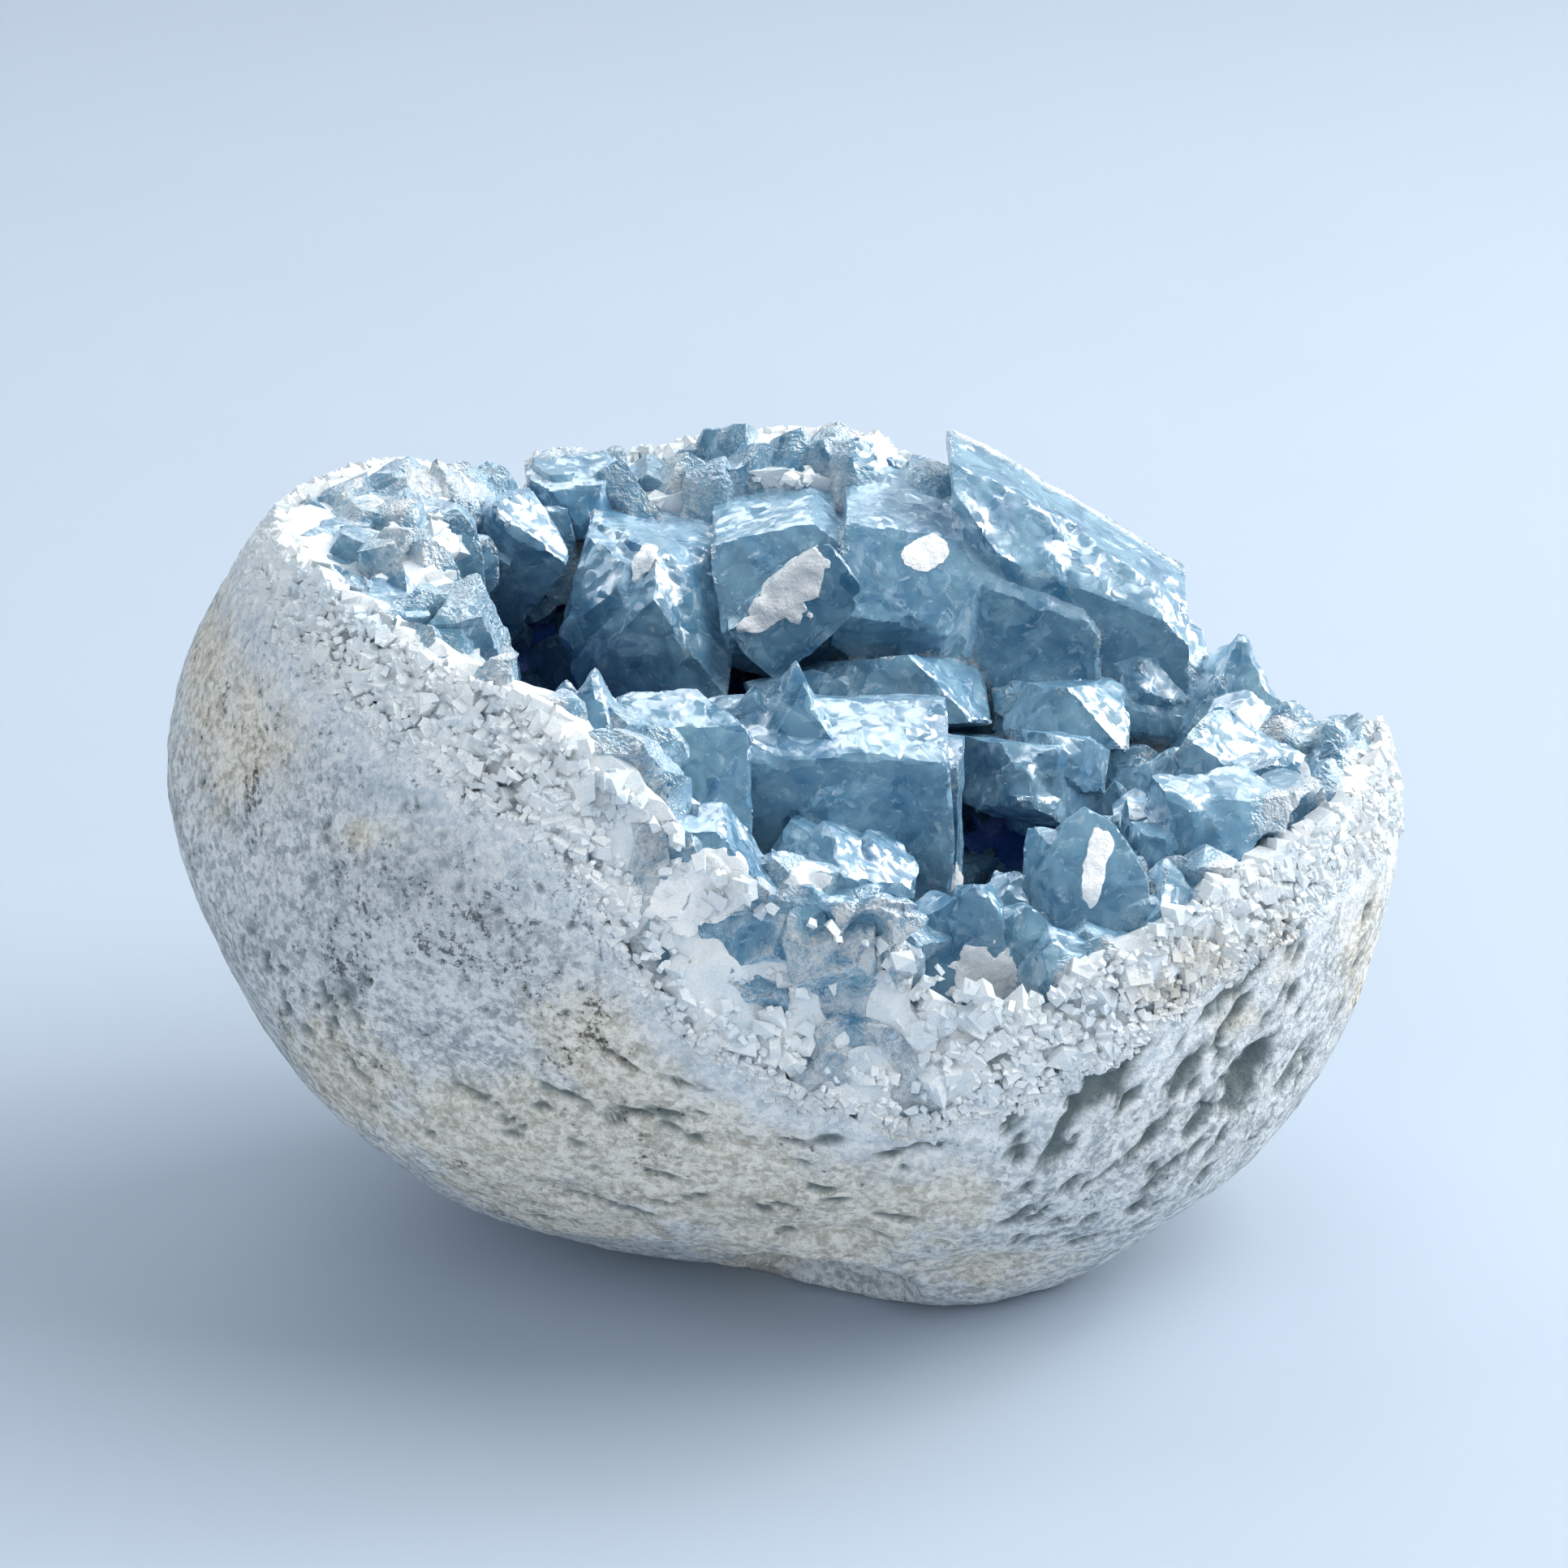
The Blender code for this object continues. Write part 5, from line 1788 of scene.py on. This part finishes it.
@dataclass(frozen=True)
class CrystalFinish(Finish):
    """Celestite: clear to milky pale blue, with frosted patches and fine steps on its faces."""

    def dress(self, pieces: list[bpy.types.Object], frost: bpy.types.NodeTree,
              shatter: bpy.types.NodeTree) -> None:
        """Makes the material and gives it to the pieces.

        Args:
            pieces: the crystals, which hold the numbers frost, green and dark; dark is painted shade.
            frost: the frost group.
            shatter: the group of what shows inside.
        """
        material, graph, shader = self.start()
        at = graph.place()
        frosted, green, dark = graph.stored("frost"), graph.stored("green"), graph.stored("dark")
        inside = use_group(graph, shatter, Vector=at, Dark=(0.035, 0.19, 0.38), Pale=(0.35, 0.62, 0.80))
        tone = graph.mix(graph.times(inside["Veil"], 0.62), inside["Color"], (0.66, 0.85, 0.97))
        tone = graph.mix(graph.times(green, 0.8), tone, (0.06, 0.17, 0.17))
        # Painted shade: near black blue where the dark number is high.
        tone = graph.mix(graph.times(dark, 0.93), tone, (0.003, 0.07, 0.20))
        ice = use_group(graph, frost, Vector=at, Cover=frosted)
        rime = graph.mix(graph.stretch(frosted, 0.6, 0.85), (0.52, 0.72, 0.86), (0.93, 0.96, 0.98))
        tone = graph.mix(graph.times(ice["Mask"], 0.85), tone, rime)
        graph.feed(shader.inputs["Base Color"], tone)
        clear = graph.stretch(inside["Veil"], 0.0, 1.0, 0.26, 0.45)
        worn = graph.times(ice["Mask"], graph.stretch(ice["Flakes"], 0.0, 1.0, 0.3, 0.05))
        graph.feed(shader.inputs["Roughness"], graph.plus(clear, worn))
        shader.inputs["Specular IOR Level"].default_value = 0.3
        relief = graph.bump(inside["Height"], 0.27, 1.0)
        relief = graph.bump(graph.times(ice["Height"], ice["Mask"]), 0.8, 0.30, relief)
        graph.feed(shader.inputs["Normal"], relief)
        for piece in pieces:
            piece.data.materials.append(material)


@dataclass(frozen=True)
class FlakeFinish(Finish):
    """Chalky flakes: white and crumbly, with small bright faces."""

    def dress(self, piece: bpy.types.Object, speckle: bpy.types.NodeTree, frost: bpy.types.NodeTree) -> None:
        """Makes the material and gives it to the flakes.

        Args:
            piece: the flakes.
            speckle: the salt and pepper group.
            frost: the frost group.
        """
        material, graph, shader = self.start()
        at = graph.place()
        grains = use_group(graph, speckle, Vector=at, Dark_Share=0.2)
        chalk = graph.speckled(grains, (0.96, 0.97, 0.98), (0.82, 0.87, 0.90), (0.50, 0.58, 0.64))
        ice = use_group(graph, frost, Vector=at, Cover=0.6)
        graph.feed(shader.inputs["Base Color"], graph.mix(ice["Mask"], chalk, (0.97, 0.98, 0.98)))
        graph.feed(shader.inputs["Roughness"], graph.stretch(ice["Flakes"], 0.0, 1.0, 0.55, 0.2))
        relief = graph.bump(grains["Height"], 0.7, 0.3)
        graph.feed(shader.inputs["Normal"], graph.bump(ice["Height"], 0.6, 0.25, relief))
        piece.data.materials.append(material)


@dataclass(frozen=True)
class Lamp:
    """A square lamp that points at the middle of the geode: its place and side in metres, its watts and colour."""

    name: str
    place: Point
    side: float
    watts: float
    colour: Point
    aim: Point = (0, 0, 0.045)

    def build(self) -> None:
        """Adds the lamp to the scene, off the part."""
        lamp = bpy.data.lights.new(self.name, "AREA")
        lamp.size, lamp.energy, lamp.color = self.side, self.watts, self.colour
        held = bpy.data.objects.new(self.name, lamp)
        bpy.context.scene.collection.objects.link(held)
        held.location = self.place
        held.rotation_euler = (Vector(self.aim) - Vector(self.place)).to_track_quat("-Z", "Y").to_euler()


@dataclass
class Studio:
    """A pale floor, soft lamps, a pale sky and the camera."""

    lamps: tuple = (
        Lamp("key_lamp", (0.74, 0.10, 0.68), 1.00, 15.5, (1.0, 0.985, 0.955)),
        Lamp("small_lamp", (0.62, 0.18, 0.60), 0.10, 0.5, (1.0, 0.985, 0.955)),
        Lamp("top_lamp", (-0.15, 0.40, 0.72), 0.7, 2.2, (0.97, 0.99, 1.0)),
        Lamp("front_lamp", (-0.30, -0.90, 0.55), 1.2, 5.2, (0.96, 0.98, 1.0)),
    )
    floor_side: float = 3.0
    floor_tones: tuple = ((0.42, 0.50, 0.60), (0.44, 0.52, 0.62))
    sky_colour: tuple = (0.84, 0.92, 1.0, 1.0)
    sky_strength: float = 0.40

    def floor(self) -> None:
        """Adds a wide flat floor at the foot, of pale paper with a faint cloudiness."""
        side = self.floor_side
        mesh = bpy.data.meshes.new("floor")
        mesh.from_pydata([(-side, -side, 0), (side, -side, 0), (side, side, 0), (-side, side, 0)], [], [(0, 1, 2, 3)])
        piece = bpy.data.objects.new("floor", mesh)
        bpy.context.scene.collection.objects.link(piece)
        material, graph, shader = Finish("pale_paper").start()
        graph.feed(shader.inputs["Base Color"], graph.mix(graph.cloud(graph.place(), 0.02), *self.floor_tones))
        shader.inputs["Roughness"].default_value = 0.8
        mesh.materials.append(material)

    def sky(self) -> None:
        """Adds a plain pale sky."""
        world = bpy.data.worlds.new("pale_sky")
        bpy.context.scene.world = world
        world.use_nodes = True
        sky = world.node_tree.nodes["Background"]
        sky.inputs["Color"].default_value = self.sky_colour
        sky.inputs["Strength"].default_value = self.sky_strength

    def camera(self) -> None:
        """Adds the camera where the photograph was taken from."""
        camera = bpy.data.cameras.new("camera")
        camera.lens, camera.sensor_width = EYE.lens, EYE.film
        camera.clip_start = 0.01
        held = bpy.data.objects.new("camera", camera)
        bpy.context.scene.collection.objects.link(held)
        across, up, into = EYE.axes()
        turn = Matrix([[float(v) for v in row] for row in np.stack([across, up, -into], axis=1)]).to_4x4()
        held.matrix_world = Matrix.Translation(Vector((EYE.place() - DRAWN_MIDDLE) * MM)) @ turn
        bpy.context.scene.camera = held

    def build(self) -> None:
        """Sets up the floor, the lamps, the sky and the camera."""
        self.floor()
        for lamp in self.lamps:
            lamp.build()
        self.sky()
        self.camera()
        bpy.context.scene.view_settings.view_transform = "Standard"


# Where the crystals are frosted, greenish, and dark with painted shade, as they are seen from the front.
FROSTED = (
    Patch(1020, 880, 150, 55, -5, 0.5), Patch(930, 850, 60, 30, 0, 0.6), Patch(1290, 660, 45, 40, 30, 0.95),
    # Patch(795, 690) at the end of the next line is a painted highlight: white laid where a glint falls, not frost.
    Patch(1400, 700, 90, 22, 35, 0.7), Patch(1450, 735, 30, 25, 0, 0.8), Patch(795, 690, 14, 30, 0, 0.8),
    Patch(900, 560, 260, 35, -5, 0.7), Patch(470, 620, 110, 60, 0, 0.75), Patch(430, 700, 60, 70, 0, 0.7),
    Patch(1320, 1060, 40, 50, -10, 0.85), Patch(1285, 1090, 40, 45, 0, 0.5), Patch(880, 1060, 110, 90, 35, 1.0),
    Patch(1440, 1100, 120, 60, 0, 0.6), Patch(850, 1050, 90, 80, 40, 0.75),
    Patch(1200, 650, 18, 60, -60, 0.7), Patch(840, 1160, 70, 60, 0, 0.55), Patch(1600, 930, 90, 50, 0, 0.6),
)
GREEN = (Patch(1110, 845, 110, 50, 0, 0.9), Patch(1185, 1000, 30, 55, -20, 0.9), Patch(1010, 835, 60, 25, 0, 0.8))
# Painted shade: patches where the crystals lie in shade, in gaps and low in the hollow.
PAINTED_SHADE = (
    Patch(655, 700, 62, 110, -8, 0.85), Patch(704, 740, 22, 100, 0, 1.0), Patch(680, 815, 60, 48, 0, 1.0),
    Patch(860, 846, 50, 22, 0, 1.0), Patch(1240, 830, 24, 60, 0, 0.8), Patch(1400, 775, 130, 34, -20, 0.5),
    Patch(1110, 850, 130, 55, 0, 0.55), Patch(780, 790, 70, 50, 0, 0.45), Patch(1530, 850, 60, 70, 0, 0.5),
    Patch(1180, 1040, 26, 90, 0, 0.7), Patch(1145, 1265, 24, 55, 0, 0.6), Patch(1262, 1265, 36, 30, 0, 0.6),
    Patch(1355, 1335, 40, 34, 0, 0.5), Patch(1410, 690, 80, 42, 38, 0.6), Patch(1240, 590, 50, 50, 40, 0.3),
    Patch(1060, 1210, 60, 60, 0, 0.35), Patch(790, 1090, 40, 40, 0, 0.2), Patch(1020, 1000, 120, 60, 0, 0.3),
)


def mark_crystals(piece: bpy.types.Object) -> None:
    """Stores how frosted, green and dark each point of a crystal piece is.

    Level and broken tops, worn edges and all that the outside cuts are frosted more. An edge is found by how much
    the normal turns between neighbouring points. The dark number is painted shade: it darkens what is deep in the
    hollow and the listed shade patches, and takes frost away there.

    Args:
        piece: the crystals.
    """
    points, normals = drawn_points(piece)
    hills = noise(points, 6.0, 41) + 0.5 * noise(points, 2.5, 42)
    level = smooth((normals[:, 2] - 0.35) / 0.5)
    high = smooth((points[:, 2] - 50) / 25)
    frost = np.clip(0.08 + 0.28 * level * (0.4 + 0.6 * high) + 0.22 * np.clip(hills, 0, 1), 0, 1)
    edges = np.zeros(len(piece.data.edges) * 2, np.int32)
    piece.data.edges.foreach_get("vertices", edges)
    first, second = edges.reshape(-1, 2).T
    bent = 1 - (normals[first] * normals[second]).sum(axis=1)
    worn = np.bincount(first, bent, len(points)) + np.bincount(second, bent, len(points))
    frost = np.maximum(frost, 0.75 * smooth(worn / 0.5) * np.clip(0.6 + hills, 0.15, 1))
    frost = np.maximum(frost, patched(points, normals, FROSTED))
    skin, _ = EGG.outside(points)
    frost = np.maximum(frost, 0.85 * smooth((skin + 4.2) / 2.2))
    if piece.name == "crystals_rim":
        frost = np.maximum(frost, np.clip(0.62 + 0.3 * hills, 0, 1))
    left = smooth((-points[:, 0] - 24) / 8) * smooth((points[:, 2] - 66) / 8)
    frost = np.maximum(frost, 0.45 * left * (1 - patched(points, normals, PAINTED_SHADE)))
    # Painted shade: darker low in the hollow and on the shade patches, with less frost there.
    low = smooth((-skin - 5) / 4) * smooth((-BREAK.over(points, CRUST_TOP) - 9) / 12)
    dark = np.maximum(patched(points, normals, PAINTED_SHADE), 0.75 * low)
    frost *= 1 - 0.8 * dark
    green = np.maximum(patched(points, normals, GREEN), 0.5 * np.clip(noise(points, 11.0, 43) - 0.45, 0, 1))
    keep_values(piece, frost=frost, green=green, dark=dark)


def dress(pieces: dict[str, bpy.types.Object]) -> None:
    """Makes the finishes and gives each piece its own."""
    speckle, frost, shatter = speckle_group(), frost_group(), shatter_group()
    StoneFinish("grey_blue_stone").dress(pieces["stone_rind"], speckle)
    sugar = [pieces["crust_body"], pieces["rim_grains"]]
    SugarFinish("sugary_celestite", 0.22, 1.5, (0.45, 0.74, 0.92), 40.0).dress(sugar, speckle)
    walls = [piece for name, piece in pieces.items() if "crystals" in name]
    CrystalFinish("clear_celestite", 0.44, 1.35, (0.05, 0.44, 0.80), 50.0).dress(walls, frost, shatter)
    FlakeFinish("chalky_flakes", 0.1, 1.5).dress(pieces["white_flakes"], speckle, frost)


def build_pieces() -> dict[str, bpy.types.Object]:
    """Builds every piece, and returns them by name."""
    walls = (
        CrystalWall("crystals_left", LEFT_WALL, 31),
        CrystalWall("crystals_back", BACK_WALL, 47),
        CrystalWall("crystals_right", RIGHT_WALL, 59),
        CrystalWall("crystals_front", FRONT_WALL, 71),
        CrystalWall("crystals_deep", deep_crystals(), 83, step=0.74),
        CrystalWall("crystals_rim", rim_crystals(), 97, step=0.66, lone=True),
    )
    pieces, blocks = {"stone_rind": Rind().build()}, {}
    for wall in walls:
        blocks[wall.name], pieces[wall.name] = wall.build()
    pieces["rim_grains"] = rim_grains(blocks)
    pieces["small_crystals"] = small_points(blocks)
    blocks["crust_body"], pieces["crust_body"] = Crust().build()
    pieces["white_flakes"] = WhiteFlakes().build(blocks)
    for name, piece in pieces.items():
        if "crystals" in name:
            mark_crystals(piece)
        logging.info("%s: %d faces", name, len(piece.data.polygons))
    return pieces


def main() -> None:
    """Builds the geode's pieces in order, dresses them, and sets up the studio round them."""
    logging.basicConfig(level=logging.INFO, format="%(message)s")
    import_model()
    pieces = build_pieces()
    for name, piece in pieces.items():
        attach(piece, "root")
    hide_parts("stone_shell")
    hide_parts("crystal_crust")
    dress(pieces)
    Studio().build()


if __name__ == "__main__":
    main()
